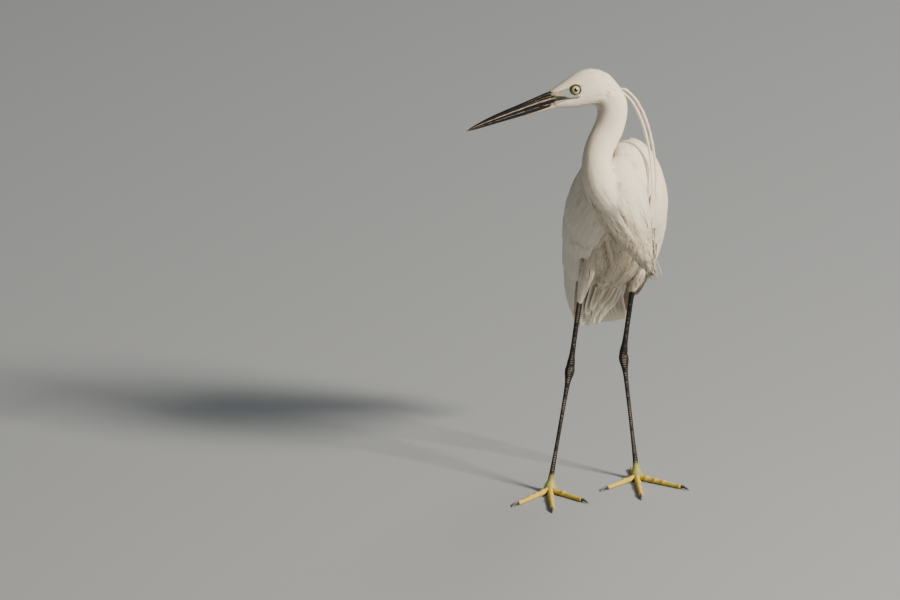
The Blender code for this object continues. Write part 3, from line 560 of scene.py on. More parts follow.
def mantlePad(outward):
    places = np.linspace(mantle["from"], mantle["to"], 46)
    part = np.linspace(0, 1, len(places))
    turn = np.radians(mantle["half"]) * np.linspace(-1, 1, 15)
    lift = (0.5 + (mantle["lift"] - 0.5) * ease(part, 0, 0.15) * ease(1 - part, 0, 0.15))[:, None]
    lift = lift * (1 - 0.5 * np.linspace(-1, 1, 15) ** 4) + outward
    outer = bedPoint(trunk["bed"], places[:, None], turn, lift)
    inner = bedPoint(trunk["bed"], places[:, None], turn[::-1], -5.0)
    return tube("mantle_pad", np.concatenate([outer, inner], axis=1))


# The skin under the feathers: the flesh solids grown until they meet, with the pads of the wings and
# the mantle, remeshed as one, smoothed, and drawn in by the depth of the coat.
skinCare = {
    "parts": ["torso", "breast", "neck_lower", "neck_upper", "head", "thigh_l", "thigh_r"],
    "grow": 0.35,
    "voxel": 1.3,
    "smoothing": 14,
    "depth": {"head": 0.5, "body": 1.0},
    "padDepth": 0.9,  # how far under the wing solids' faces their pads lie
    "even": ((13.0, -76.0, 336.0), 15.0, 70),  # a place that is smoothed more, how far round it, how often
    "headFrom": (-34, -20),  # where the body's coat gives way to the head's
    "headAbove": (372, 384),
    "factor": 0.6,
}
eye = {
    "radius": 4.7,
    "place": (0.0, 8.6, 0.2),
    "iris": 4.1,
    "pupil": 1.85,
    "lids": [(4.25, 0.3, 0.4, 0.45), (4.77, 0.4, 0.28, 0.15)],  # radius, half width, half height, lift
    "bed": 4.1,  # how far from the eyeball's middle the skin under it lies
    "irisColours": ((0.42, 0.39, 0.10), (0.62, 0.58, 0.24)),
    "irisEdge": (0.13, 0.12, 0.03),
    "pupilColour": (0.004, 0.004, 0.005),
    "rimColour": (0.02, 0.02, 0.02),
    "lidColours": ((0.008, 0.008, 0.01), (0.06, 0.06, 0.06)),
}


def applied(thing):  # makes what its modifiers show into its own mesh
    mesh = bpy.data.meshes.new_from_object(thing.evaluated_get(bpy.context.evaluated_depsgraph_get()))
    thing.modifiers.clear()
    old, thing.data = thing.data, mesh
    bpy.data.meshes.remove(old)
    return thing


def readPoints(mesh):
    values = np.zeros(len(mesh.vertices) * 3, np.float32)
    mesh.vertices.foreach_get("co", values)
    return values.reshape(-1, 3).astype(float) / mm - centre


def writePoints(mesh, points):
    mesh.vertices.foreach_set("co", ((points + centre) * mm).astype(np.float32).ravel())
    mesh.update()


def readNormals(mesh):
    values = np.zeros(len(mesh.vertices) * 3, np.float32)
    mesh.vertex_normals.foreach_get("vector", values)
    return values.reshape(-1, 3).astype(float)


def makeSkin():
    copies = []
    for name in skinCare["parts"]:
        thing = bpy.data.objects.new("copy", nodes[name].data.copy())
        bpy.context.scene.collection.objects.link(thing)
        weld = thing.modifiers.new("weld", "WELD")
        weld.merge_threshold = 1e-6
        applied(thing)
        writePoints(thing.data, readPoints(thing.data) + readNormals(thing.data) * skinCare["grow"])
        copies.append(thing)
    drawn = skinCare["depth"]["body"] + skinCare["grow"]
    copies += [wingPad(letter, drawn - skinCare["padDepth"], -5.0) for letter in ("l", "r")]
    copies.append(mantlePad(drawn - 0.4))
    body = joined("skin", copies)
    remesh = body.modifiers.new("remesh", "REMESH")
    remesh.mode, remesh.voxel_size = "VOXEL", skinCare["voxel"] * mm
    soften = body.modifiers.new("soften", "SMOOTH")
    soften.factor, soften.iterations = skinCare["factor"], skinCare["smoothing"]
    applied(body)
    place, reach, often = skinCare["even"]
    far = np.linalg.norm(readPoints(body.data) - place, axis=1) / reach
    group = body.vertex_groups.new(name="even")
    for share in (0.25, 0.5, 0.75, 1.0):
        near = np.flatnonzero(far < 1.8 * (1.05 - share) + 0.2)
        group.add(near.tolist(), share, "REPLACE")
    even = body.modifiers.new("even", "SMOOTH")
    even.factor, even.iterations, even.vertex_group = skinCare["factor"], often, group.name
    applied(body)
    points, normals = readPoints(body.data), readNormals(body.data)
    inHead = birdToHead(points)
    onHead = ease(inHead[:, 0], *skinCare["headFrom"]) * ease(points[:, 2], *skinCare["headAbove"])
    depth = between((skinCare["depth"]["body"], skinCare["depth"]["head"]), onHead)
    points = points - normals * (depth + skinCare["grow"])[:, None]
    for side in (1, -1):  # the skin dips under each eyeball
        middle = headToBird(np.array(eye["place"]) * [1, side, 1])
        away = points - middle
        far = np.linalg.norm(away, axis=1)
        near = far < eye["radius"] + 0.9
        points[near] = middle + away[near] / far[near, None] * np.minimum(far[near], eye["bed"])[:, None]
    writePoints(body.data, points)
    body.data.shade_smooth()
    body.data.materials.clear()
    finishPiece(body, "white_feathers", finishes["down"], *skinCare["parts"])
    return body


skin = makeSkin()
print("skin made:", len(skin.data.polygons), "faces")


# Brings points to the nearest place on the skin, as whole arrays, and gives its outward way there.
def drape(points):
    found = []
    for offset in (0.0, 1.0 * mm):
        helper = buildMesh("helper", points)
        wrap = helper.modifiers.new("wrap", "SHRINKWRAP")
        wrap.target, wrap.wrap_method, wrap.offset = skin, "NEAREST_SURFACEPOINT", offset
        wrap.wrap_mode = "ABOVE_SURFACE"
        applied(helper)
        found.append(readPoints(helper.data))
        mesh = helper.data
        bpy.data.objects.remove(helper)
        bpy.data.meshes.remove(mesh)
    return found[0], unit(found[1] - found[0])


# The lie of the coat. Each guide is a line that feathers run along, with how far round it they follow,
# the length, width and tip's rise of the tufts near it, how unruly they are in degrees, how much they
# gather into locks, and how much beige and painted shade show between them.
guides = {
    "head": [
        ((24, 0, -3), 6, 1.6, 0.55, 0.16, 4, 0, 0.15), ((14, 0, -3), 9, 2.2, 0.62, 0.18, 4, 0, 0.15),
        ((4, 0, -3), 11, 3.0, 0.7, 0.2, 4, 0, 0.15), ((-8, 0, -3), 13, 4.0, 0.75, 0.24, 5, 0.1, 0.2),
        ((-20, 0, -4), 13, 4.8, 0.8, 0.28, 5, 0.2, 0.25), ((-31, 0, -9), 12, 5.6, 0.8, 0.32, 5, 0.3, 0.3),
    ],
    "neck": [
        ((-6, -101.5, 388), 14, 5.6, 0.85, 0.26, 4, 0.05, 0.2),
        ((-2.2, -104, 370.5), 14, 6.6, 0.9, 0.26, 4, 0.05, 0.2),
        ((-6, -108, 358.6), 14, 7, 0.95, 0.26, 4, 0.05, 0.2),
        ((-11, -112, 348), 12, 7.5, 0.95, 0.26, 4, 0.05, 0.2),
        ((-15, -118, 336), 10, 8, 0.95, 0.26, 4, 0.05, 0.2),
    ],
    "breast_1": [  # from the neck's right side to the breast's under edge
        ((-24, -120, 346), 10, 7.5, 0.95, 0.26, 4, 0.05, 0.35),
        ((-26, -126, 333), 10, 8, 0.95, 0.28, 4, 0.05, 0.45),
        ((-22, -132, 316), 10, 9, 0.95, 0.3, 4, 0.1, 0.5),
        ((-14.7, -132, 301), 10, 11, 0.95, 0.36, 4, 0.2, 0.6),
        ((-5.5, -125.5, 287), 10, 14, 0.9, 0.45, 5, 0.35, 0.45),
        ((5.5, -120, 271), 10, 18, 0.85, 0.6, 5, 0.5, 0.6),
        ((16.6, -109, 254), 10, 22, 0.8, 0.8, 6, 0.65, 0.75),
        ((26, -94.5, 235), 9, 24, 0.75, 0.9, 7, 0.7, 0.7),
        ((33, -74, 216), 8, 22, 0.7, 1.1, 8, 0.7, 0.6),
    ],
    "breast_2": [
        ((-11, -120.5, 355), 10, 7.5, 0.95, 0.26, 4, 0.05, 0.2),
        ((-13, -126.5, 343), 10, 8, 0.95, 0.26, 4, 0.05, 0.2),
        ((-11, -131, 330), 10, 9, 0.95, 0.28, 4, 0.05, 0.2),
        ((-5.5, -133, 316), 10, 10, 0.95, 0.32, 4, 0.1, 0.22),
        ((3.7, -129, 300), 10, 13, 0.9, 0.4, 4, 0.25, 0.32),
        ((14.7, -124, 282), 10, 18, 0.85, 0.55, 5, 0.5, 0.5),
        ((26, -108, 256), 10, 24, 0.8, 0.8, 6, 0.8, 0.75), ((34, -82, 228), 8, 26, 0.75, 1.1, 8, 0.8, 0.65),
    ],
    "breast_3": [
        ((1, -125.7, 317), 8, 8, 0.9, 0.3, 4, 0.05, 0.25),
        ((6.4, -127.6, 311.6), 9, 10, 0.9, 0.32, 4, 0.15, 0.25),
        ((13, -127, 302), 9, 13, 0.9, 0.4, 4, 0.3, 0.32), ((20, -122, 287), 10, 18, 0.85, 0.5, 5, 0.5, 0.45),
        ((28.5, -110, 266), 10, 24, 0.8, 0.8, 6, 0.8, 0.7), ((34, -92, 243), 9, 26, 0.75, 1.0, 7, 0.8, 0.7),
    ],
    "bulge_1": [  # over the bulge beside the neck, from the crease outwards and down
        ((0, -100.5, 332.6), 8, 5, 0.85, 0.24, 4, 0, 0.2), ((7.4, -109, 330), 8, 6.5, 0.9, 0.24, 4, 0, 0.2),
        ((14.7, -114, 323), 9, 8, 0.9, 0.28, 4, 0.05, 0.2),
        ((19.3, -121.6, 312), 9, 10, 0.9, 0.32, 4, 0.1, 0.22),
        ((24, -121, 296), 9, 13, 0.9, 0.4, 4, 0.25, 0.3),
        ((30.4, -111.5, 274.5), 9, 18, 0.85, 0.6, 5, 0.6, 0.6),
    ],
    "bulge_2": [
        ((5.5, -87.6, 336.6), 9, 6, 0.9, 0.24, 4, 0, 0.2), ((14.7, -88, 335), 9, 7, 0.9, 0.24, 4, 0, 0.2),
        ((22, -91, 326), 9, 8.5, 0.9, 0.28, 4, 0.05, 0.2),
        ((26.7, -95, 312), 9, 10, 0.9, 0.32, 4, 0.1, 0.22),
        ((29.4, -93, 295), 9, 12, 0.9, 0.4, 4, 0.2, 0.3), ((33, -80, 272), 9, 15, 0.85, 0.5, 5, 0.4, 0.45),
    ],
    "bulge_3": [
        ((11, -60, 336), 9, 6, 0.9, 0.24, 4, 0, 0.2), ((20, -68, 336.5), 9, 7, 0.9, 0.24, 4, 0, 0.2),
        ((28.5, -73, 330), 9, 8.5, 0.9, 0.28, 4, 0.05, 0.2),
        ((33, -82, 320.6), 9, 10, 0.9, 0.32, 4, 0.1, 0.22),
        ((35, -86.7, 307.6), 9, 11, 0.9, 0.36, 4, 0.15, 0.25),
        ((35.5, -86, 292), 9, 13, 0.9, 0.4, 4, 0.2, 0.3),
    ],
    "belly": [],
    "belly_1": [  # over the right flank to the thigh
        ((-14.7, -73, 250), 12, 14, 1.1, 0.5, 4, 0.6, 1.0), ((-22, -60, 235), 12, 17, 1.1, 0.5, 4, 0.7, 0.9),
        ((-28.5, -43, 220), 12, 18, 1.1, 0.5, 4, 0.7, 0.7), ((-34, -13, 200), 12, 18, 1.1, 0.5, 4, 0.7, 0.6),
        ((-37.7, 10, 184), 12, 18, 1.1, 0.5, 4, 0.7, 0.6),
    ],
    "belly_2": [
        ((-5.5, -72, 244), 12, 18, 1.1, 0.5, 4, 0.7, 1.0),
        ((-1.8, -61.5, 228.6), 12, 22, 1.1, 0.6, 4, 0.8, 1.0),
        ((0, -45, 211), 12, 24, 1.1, 0.7, 4, 0.8, 0.95), ((-1, -20, 193), 12, 24, 1.1, 0.8, 5, 0.8, 0.9),
        ((-3, 2, 180), 12, 24, 1.1, 0.9, 5, 0.8, 0.8),
    ],
    "belly_3": [
        ((24, -68, 240), 12, 18, 1.1, 0.5, 4, 0.7, 1.0), ((18, -58, 228), 12, 20, 1.1, 0.55, 4, 0.7, 0.95),
        ((12.9, -45, 213), 12, 22, 1.1, 0.6, 4, 0.8, 0.9), ((6.4, -33, 201), 12, 24, 1.1, 0.7, 5, 0.8, 0.9),
        ((0, -4.5, 184.5), 12, 24, 1.1, 0.8, 5, 0.8, 0.85),
    ],
    "belly_4": [
        ((-13.8, -64, 239), 11, 18, 1.1, 0.5, 4, 0.6, 0.95),
        ((-13.8, -50, 222), 11, 18, 1.1, 0.5, 4, 0.4, 0.55),
        ((-14.7, -31, 205), 11, 20, 1.1, 0.6, 4, 0.5, 0.7), ((-15, -12, 192), 11, 22, 1.1, 0.7, 5, 0.7, 0.9),
    ],
    "belly_5": [
        ((31, -58, 238), 11, 18, 1.1, 0.5, 4, 0.7, 0.9), ((27, -40, 222), 11, 20, 1.1, 0.6, 4, 0.8, 0.8),
        ((20, -23, 201), 11, 22, 1.1, 0.7, 5, 0.8, 0.8), ((14.7, -11, 190), 11, 22, 1.1, 0.8, 5, 0.8, 0.8),
    ],
}
guideLooks = {
    "belly": (
        (-14, (14, 7, 1.1, 0.4, 5, 0.2, 0.5)), (5, (26, 9, 1.1, 0.45, 5, 0.3, 0.6)),
        (30, (36, 13, 1.1, 0.55, 5, 0.5, 0.8)), (60, (40, 18, 1.1, 0.65, 5, 0.7, 1.0)),
        (90, (42, 24, 1.1, 0.8, 5, 0.85, 1.0)), (120, (40, 26, 1.1, 0.9, 6, 0.9, 0.9)),
        (150, (30, 26, 1.1, 1.1, 7, 0.9, 0.85)), (185, (16, 26, 1.2, 1.2, 7, 0.8, 0.7)),
    ),
    "wing": (  # on the wing's front and shoulder
        (-12, (10, 7, 1.9, 0.35, 4, 0.1, 0.2)), (4, (15, 9, 2.2, 0.45, 4, 0.1, 0.25)),
        (24, (24, 12, 2.6, 0.55, 4, 0.15, 0.3)), (50, (20, 15, 2.6, 0.7, 5, 0.3, 0.35)),
        (90, (18, 18, 2.4, 0.9, 6, 0.5, 0.45)), (130, (16, 20, 2.2, 1.0, 7, 0.6, 0.5)),
    ),
}
for bellyPlace, look in guideLooks["belly"]:
    guides["belly"].append((tuple(trunk["start"] + unit(trunk["axis"]) * bellyPlace), *look))
for wingLetter in ("l", "r"):
    for band, bandTurn in (("shoulder", 70), ("flank", 118)):
        guides[band + "_" + wingLetter] = [
            (tuple(wingPoint(wingLetter, np.array(wingPlace), np.radians(bandTurn), 4.0)), *look)
            for wingPlace, look in guideLooks["wing"]
        ]
    guides["thigh_" + wingLetter] = [
        (row[:3], max(row[3], 4), 6.5, 1.5, 0.45, 6, 0.2, 0.35) for row in legRows[wingLetter]["thigh"]
    ]


def guideTable():
    places, ways, looks, labels = [], [], [], []
    for number, (name, rows) in enumerate(guides.items()):
        line = np.array([row[0] for row in rows], float)
        if name == "head":
            line = headToBird(line)
        steps = np.linspace(0, len(rows) - 1, 4 * len(rows))
        smooth = spline(line, steps)
        places.append(smooth)
        ways.append(unit(np.gradient(smooth, axis=0)))
        looks.append(spline(np.array([row[1:] for row in rows], float), steps))
        labels.append(np.full(len(steps), number))
    return np.vstack(places), np.vstack(ways), np.vstack(looks), np.concatenate(labels)


guidePlaces, guideWays, guideTraits, guideLabels = guideTable()


# How the coat lies and looks at points on the skin: each guide counts by its nearness for its reach.
def coatAt(points):
    ways, traits, labels = [], [], []
    for part in np.array_split(points, max(1, len(points) // 8000)):
        far = np.linalg.norm(part[:, None, :] - guidePlaces[None], axis=2) / guideTraits[None, :, 0]
        weight = np.exp(-3.0 * far**2) + 1e-12
        labels.append(guideLabels[np.argmax(weight, axis=1)])
        weight = weight / weight.sum(axis=1, keepdims=True)
        ways.append(weight @ guideWays)
        traits.append(weight @ guideTraits)
    return unit(np.vstack(ways)), np.vstack(traits), np.concatenate(labels)


# Roots strewn over the skin, as many as weight(points) asks for on each square millimetre.
def strew(weight, chance):
    points, normals = readPoints(skin.data), readNormals(skin.data)
    skin.data.calc_loop_triangles()
    tris = np.zeros(len(skin.data.loop_triangles) * 3, np.int32)
    skin.data.loop_triangles.foreach_get("vertices", tris)
    tris = tris.reshape(-1, 3)
    a, b, c = (points[tris[:, i]] for i in range(3))
    area = np.linalg.norm(np.cross(b - a, c - a), axis=1) / 2
    number = area * weight((a + b + c) / 3)
    count = np.floor(number + chance.random(len(number))).astype(int)
    face = np.repeat(np.arange(len(tris)), count)
    u, v = chance.random((2, len(face)))
    u, v = np.where(u + v > 1, 1 - u, u), np.where(u + v > 1, 1 - v, v)
    share = np.stack([1 - u - v, u, v], -1)
    root = (points[tris[face]] * share[..., None]).sum(axis=1)
    return root, unit((normals[tris[face]] * share[..., None]).sum(axis=1))


# Faces of three-sided blades: each has three rings of three points and a tip, and is closed at its root.
def bladeFaces(count):
    i, j = np.meshgrid(np.arange(2), np.arange(3), indexing="ij")
    k = (j + 1) % 3
    quads = np.stack([i * 3 + j, i * 3 + k, (i + 1) * 3 + k, (i + 1) * 3 + j], -1).reshape(-1, 4)
    j = np.arange(3)
    tris = np.vstack([np.stack([6 + j, 6 + (j + 1) % 3, np.full(3, 9)], -1), [2, 1, 0]])
    offset = (np.arange(count) * 10)[:, None, None]
    return (quads + offset).reshape(-1, 4), (tris + offset).reshape(-1, 3)


# Tufts as flat three-sided blades that follow the surface. Along a blade the width is a share of its
# own, its height over the surface goes from below the skin to the tip's rise, and it ends in a point.
# A blade shades like the surface under it, a little rounded from side to side, and its lock together
# shades and stands up like a rounded ridge.
blade = {
    "steps": np.array([0.0, 0.34, 0.74, 1.0]),
    "widths": np.array([0.55, 1.0, 0.75, 0.0]),
    "sink": 0.3,
    "ridge": 0.14,  # the middle's height for each unit of width
    "round": 0.35,
}


def growTufts(name, tufts):
    count = len(tufts["root"])
    tufts = {"heap": np.zeros(count), "gather": np.zeros((count, 3)), "swell": np.zeros((count, 3)), **tufts}
    root, normal, cling = tufts["root"], tufts["normal"], tufts["cling"]
    length, width = tufts["length"], tufts["width"]
    outward = (tufts["way"] * normal).sum(axis=1, keepdims=True)  # loose tufts keep some of it
    way = unit(tufts["way"] - outward * normal * np.where(outward > 0, cling[:, None], 1.0))
    steps = blade["steps"]
    rings, shades, here, ahead, up = [], [], root.copy(), way, normal
    free = root.copy()
    for number, step in enumerate(steps):
        if number:
            stride = (length * (step - steps[number - 1]))[:, None]
            ahead = unit(ahead + tufts["gather"] * (step - steps[number - 1]))
            free = free + ahead * stride
            here, up = drape(here + ahead * stride)
            here = here * cling[:, None] + free * (1 - cling[:, None])
            free = here
            ahead = unit(ahead - (ahead * up).sum(axis=1, keepdims=True) * up * cling[:, None])
        height = (-blade["sink"] + (tufts["rise"] + blade["sink"]) * np.sin(np.pi / 2 * step**0.7))[:, None]
        height = height + (tufts["heap"] * min(1, step * 3))[:, None]
        side = unit(np.cross(ahead, up))
        half = (width * blade["widths"][number] / 2)[:, None]
        ridge = up * (width * blade["ridge"])[:, None]
        middle = here + up * height + ridge
        if number < len(steps) - 1:
            edge = here + up * (height - 0.05)
            rings.append(np.stack([edge - side * half, middle, edge + side * half], 1))
            bow = side * blade["round"]
            swollen = up + tufts["swell"]
            shades.append(np.stack([swollen - bow, swollen, swollen + bow], 1))
        else:
            rings.append((middle - ridge * 0.8)[:, None, :])
            shades.append((up + tufts["swell"])[:, None, :])
    grid = np.concatenate(rings, axis=1)  # each tuft: three points a ring, and the tip
    each = grid.shape[1]
    fields = {
        "along": np.tile(np.concatenate([np.repeat(steps[:-1], 3), [1.0]]), count),
        "tint": np.repeat(tufts["tint"], each),
        "beige": np.repeat(tufts["beige"], each),
    }
    shade = unit(np.concatenate(shades, axis=1).reshape(-1, 3))
    thing = buildMesh(name, grid.reshape(-1, 3), *bladeFaces(count), fields, None, shade)
    spot = np.stack([np.tile([0.0, 0.5, 1.0], len(steps) - 1), np.repeat(steps[:-1], 3)], -1)
    spot = np.vstack([spot, [0.5, 1.0]]) * 0.003 - 0.0015  # each tuft's own small place on the map
    setMap(thing, (tufts["map"][:, None, :] + spot[None]).reshape(-1, 2))
    finishPiece(thing, "white_feathers", finishes["plume"])


# The bare skin before the eye, between a line above it and the mouth's line, in the head's frame.
face = {
    "above": [(-3.0, -0.6), (3.0, 3.2), (9.3, 3.2), (14.5, 2.8), (19.6, 4.4), (26.0, 4.0)],
    "below": [(-3.0, -7.0), (1.4, -7.6), (9.4, -5.5), (17.8, -5.8), (22.4, -8.1), (26.0, -9.6)],
    "mouth": [(-2.0, -7.2), (0.0, -7.0), (10.0, -5.1), (19.0, -3.7), (26.0, -2.7)],
    "sheet": (-2.6, 24.6),  # from and to
    "thick": 1.6,
    "waves": 9,
    "seed": 61,
    "under": 0.7,  # how far its edges reach under the feathers
    "ends": (20.6, 24.2),  # where it sinks into the bill
    "skin": ((0.22, 0.235, 0.19), (0.44, 0.45, 0.37)),
    "yellow": (0.50, 0.40, 0.22),
    "jaw": (0.50, 0.41, 0.32),
    "wedge": (0.03, 0.028, 0.026),
    # near black: painted shade in the mouth's crease
    "creaseShade": (0.025, 0.025, 0.025),
}


# Where no tufts grow: under the wings' long feathers, at the eyes and on the bare face.
def isBare(points):
    place, turn = trunkPlace(points, trunk["bed"])
    bare = np.zeros(len(points), bool)
    for letter, side in (("l", 1), ("r", -1)):
        own = place - wings["drop"][letter]
        top, edge = wingEdges(own)
        turned = turn * side
        under = (turned > top + 0.1) & (turned < edge - 0.12 - 0.2 * ease(own, 60, 120))
        bare |= (own > 30) & under & (points[:, 2] < 372)
        bare |= (own > 128) & (turned > 0.3) & (turned < edge + 0.1)
    x, y, z = birdToHead(points).T
    above, below = (np.interp(x, *np.array(face[key]).T) for key in ("above", "below"))
    onFace = (x > 1.0) & (z < above) & (z > below) & (np.abs(y) > 2.0)
    onEye = (np.hypot(x - eye["place"][0], z - eye["place"][2]) < 5.0) & (np.abs(y) > 3.0)
    return bare | ((x > -38) & (points[:, 2] > 372) & (onFace | onEye | (x > 22.8)))


# Tufts gather into long locks: each goes with the nearest of a few, counted closer along its way than
# across it, leans towards that one's line, and shows more beige and painted shade the further from it it
# stands.
def gatherLocks(root, way, normal, share, chance, density=0.022, stretch=0.3):
    leads = chance.choice(len(root), max(2, int(len(root) * density)), replace=False)
    lean, far = [], []
    for part in np.array_split(np.arange(len(root)), max(1, len(root) // 4000)):
        away = root[leads][None] - root[part][:, None]
        ahead = (away * way[leads][None]).sum(axis=2)
        distance = np.sqrt(np.maximum((away**2).sum(axis=2) - ahead**2 * (1 - stretch**2), 0))
        nearest = np.argmin(distance, axis=1)
        pick = np.arange(len(part))
        lead = leads[nearest]
        across = away[pick, nearest] - ahead[pick, nearest][:, None] * way[lead]
        across = across - (across * normal[part]).sum(axis=1, keepdims=True) * normal[part]
        lean.append(across)
        far.append(np.linalg.norm(across, axis=1))
    lean, far = np.vstack(lean), np.concatenate(far)
    reach = np.percentile(far, 90) + 1e-6
    return lean / reach * share[:, None], np.clip(far / reach, 0, 1.2)


def swerve(way, normal, unruly, chance):  # ways laid on the surface and turned a little at random
    angle = np.radians(unruly) * chance.normal(size=len(way))
    way = unit(way - (way * normal).sum(axis=1, keepdims=True) * normal)
    return way * np.cos(angle)[:, None] + np.cross(normal, way) * np.sin(angle)[:, None]


def shadows(points):  # faint ones where the jaw meets the throat, and in the pit beside the neck
    x, _, z = birdToHead(points).T
    along = ease(x, -20, -14) * (1 - ease(x, 0, 6)) * (points[:, 2] > 368)
    jaw = 0.55 * along * np.exp(-(((z + 14.9 - 0.245 * x) / 0.8) ** 2))
    away = (points - coat["pitPlace"]) / coat["pitSize"]
    return jaw + 0.9 * np.exp(-(away**2).sum(axis=1))


# Streaks of painted shade that spread from the pit beside the neck over the breast's lower part, as seen
# from in front: a wave of the angle round the pit, which bends with the distance from it.
def breastShadeStreaks(points):
    pit = coat["pit"]
    tilt = np.radians(view["elevation"])
    across = points[:, 0] - pit[0]
    down = pit[1] - points[:, 2] * np.cos(tilt) - points[:, 1] * np.sin(tilt)
    angle, far = np.arctan2(across, down), np.hypot(across, down)
    wave = np.sin(angle * coat["streaks"] + 2.6 * np.sin(angle * 11 + far * 0.03) + 1.5 * np.sin(angle * 31))
    return ease(wave, 0.0, 0.95) * ease(far, 20, 58) * ease(down, 8, 30)


coat = {
    "pit": (0.4, 270.8),  # aside and up in the photo's plane
    "pitPlace": (0.8, -126.0, 317.0),
    "pitSize": (2.4, 6.0, 2.0),
    "streaks": 118,  # for each radian
    "cover": {  # how many times over the tufts cover the skin
        "head": 4.4, "neck": 6.5, "breast": 9.5, "bulge": 7.5, "belly": 6.5, "shoulder": 6.0, "flank": 8.0,
        "thigh": 8.0,
    },
    "seed": 7,
    "hangFree": (226, 252),  # heights between which the breast's feathers start to hang free
    "bellyEnd": (118, 150),  # places along the trunk between which the belly's do
    "flat": 0.45,  # how far the breast's locks stand up and gather, against the others
    "short": 0.5,  # how long tufts at the wings' long feathers are, against the others
}


def makeCoat():
    chance = np.random.default_rng(coat["seed"])
    covers = np.array([coat["cover"][name.split("_")[0]] for name in guides])

    def weight(points):
        _, traits, labels = coatAt(points)
        return np.where(isBare(points), 0.0, covers[labels] / (traits[:, 1] * traits[:, 2] * 0.62))

    root, normal = strew(weight, chance)
    way, traits, labels = coatAt(root)
    _, length, width, rise, unruly, locks, beige = traits.T
    lie = way
    way = swerve(way, normal, unruly, chance)
    for number, name in enumerate(guides):
        mine = np.flatnonzero(labels == number)
        line, lineWays = guidePlaces[guideLabels == number], guideWays[guideLabels == number]
        nearest = np.argmin(np.linalg.norm(root[mine][:, None] - line[None], axis=2), axis=1)
        away = root[mine] - line[nearest]
        forward = (away * lineWays[nearest]).sum(axis=1)
        side = unit(np.cross(lineWays[nearest], [0.3, 1, 0.2]))
        front = np.cross(lineWays[nearest], side)
        around = np.arctan2((away * side).sum(axis=1), (away * front).sum(axis=1))
        step = (nearest + np.clip(forward / 8, -0.5, 0.5) + 0.5) / (len(line) + 1)
        gather, apart = gatherLocks(root[mine], way[mine], normal[mine], locks[mine], chance)
        size = len(mine)
        streaks = breastShadeStreaks(root[mine]) * name.startswith(("breast", "bulge"))
        # the least share of beige and painted shade; higher on the belly, for the shade under the breast
        least = 0.45 if name.startswith("belly") else 0.25
        flat = coat["flat"] if name.startswith(("breast", "bulge")) else 1.0
        reach = length[mine] * chance.uniform(0.8, 1.2, size)
        under = isBare(root[mine] + way[mine] * reach[:, None]) & name.startswith(("shoulder", "flank"))
        under = np.where(under, coat["short"], 1.0)  # they end before the wings' long feathers
        reach = reach * under
        loose = np.zeros(size)  # how freely they hang: at the breast's tip and the belly's end
        if name.startswith("breast"):
            loose = 0.06 + 0.88 * (1 - ease(root[mine, 2], *coat["hangFree"]))
        elif name.startswith("belly"):
            loose = 0.06 + 0.74 * ease(trunkPlace(root[mine])[0], *coat["bellyEnd"])
        tufts = {
            "root": root[mine],
            "normal": normal[mine],
            "way": unit(way[mine] * (1 - 0.9 * loose)[:, None] + lie[mine] * loose[:, None]),
            "length": reach * (1 - 0.5 * loose),
            "width": width[mine] * chance.uniform(0.8, 1.2, size),
            "rise": rise[mine] * under * chance.uniform(0.6, 1.2, size),
            "heap": (0.7 - 0.5 * streaks) * flat * locks[mine] * (1 - np.minimum(apart, 1) ** 2),
            "swell": gather * -0.9,
            "cling": 1.0 - loose,
            "gather": gather * (1.1 * flat - 0.7 * loose)[:, None],
            "tint": chance.random(size),
            # beige tone, with painted shade between locks, at the jaw, in the pit and in the breast's
            # streaks
            "beige": np.clip(
                beige[mine] * (least + (1 - least) * apart) + shadows(root[mine]) + 0.75 * streaks, 0, 1,
            ),
            "map": np.stack([around / (2 * np.pi) + 0.5, step], -1) * 0.98 + 0.01,
        }
        growTufts("coat_" + name, tufts)
        print("coat", name, size, "tufts")


makeCoat()


# Long thin plumes that hang loose over the coat: over the breast's end, the belly and the flanks.
wisps = {
    "density": 2400 / 26000,  # for each mm2 where the coat hangs loosest
    "length": (20, 38),
    "width": (0.28, 0.5),
    "rise": (0.8, 2.4),
    "unruly": 4,
    "gather": 0.5,
    "cling": 0.82,
    "beige": (0.0, 0.75),
    "seed": 71,
}


def makeWisps():
    chance = np.random.default_rng(wisps["seed"])

    def weight(points):
        _, traits, _ = coatAt(points)
        hang = ease(traits[:, 6], 0.5, 0.95)
        return np.where(isBare(points), 0.0, hang * wisps["density"])

    root, normal = strew(weight, chance)
    way, traits, _ = coatAt(root)
    size = len(root)
    way = swerve(way, normal, wisps["unruly"], chance)
    gather, _ = gatherLocks(root, way, normal, np.full(size, wisps["gather"]), chance, 0.03)
    place, turn = trunkPlace(root)
    tufts = {
        "root": root,
        "normal": normal,
        "way": way,
        "length": chance.uniform(*wisps["length"], size) * (0.6 + 0.4 * ease(traits[:, 1], 14, 26)),
        "width": chance.uniform(*wisps["width"], size),
        "rise": chance.uniform(*wisps["rise"], size),
        "cling": np.full(size, wisps["cling"]),
        "gather": gather,
        "swell": gather * -0.5,
        "tint": chance.random(size),
        "beige": chance.uniform(*wisps["beige"], size),
        "map": trunkMap(place, turn, 40),
    }
    growTufts("coat_wisps", tufts)
    print("wisps", size)
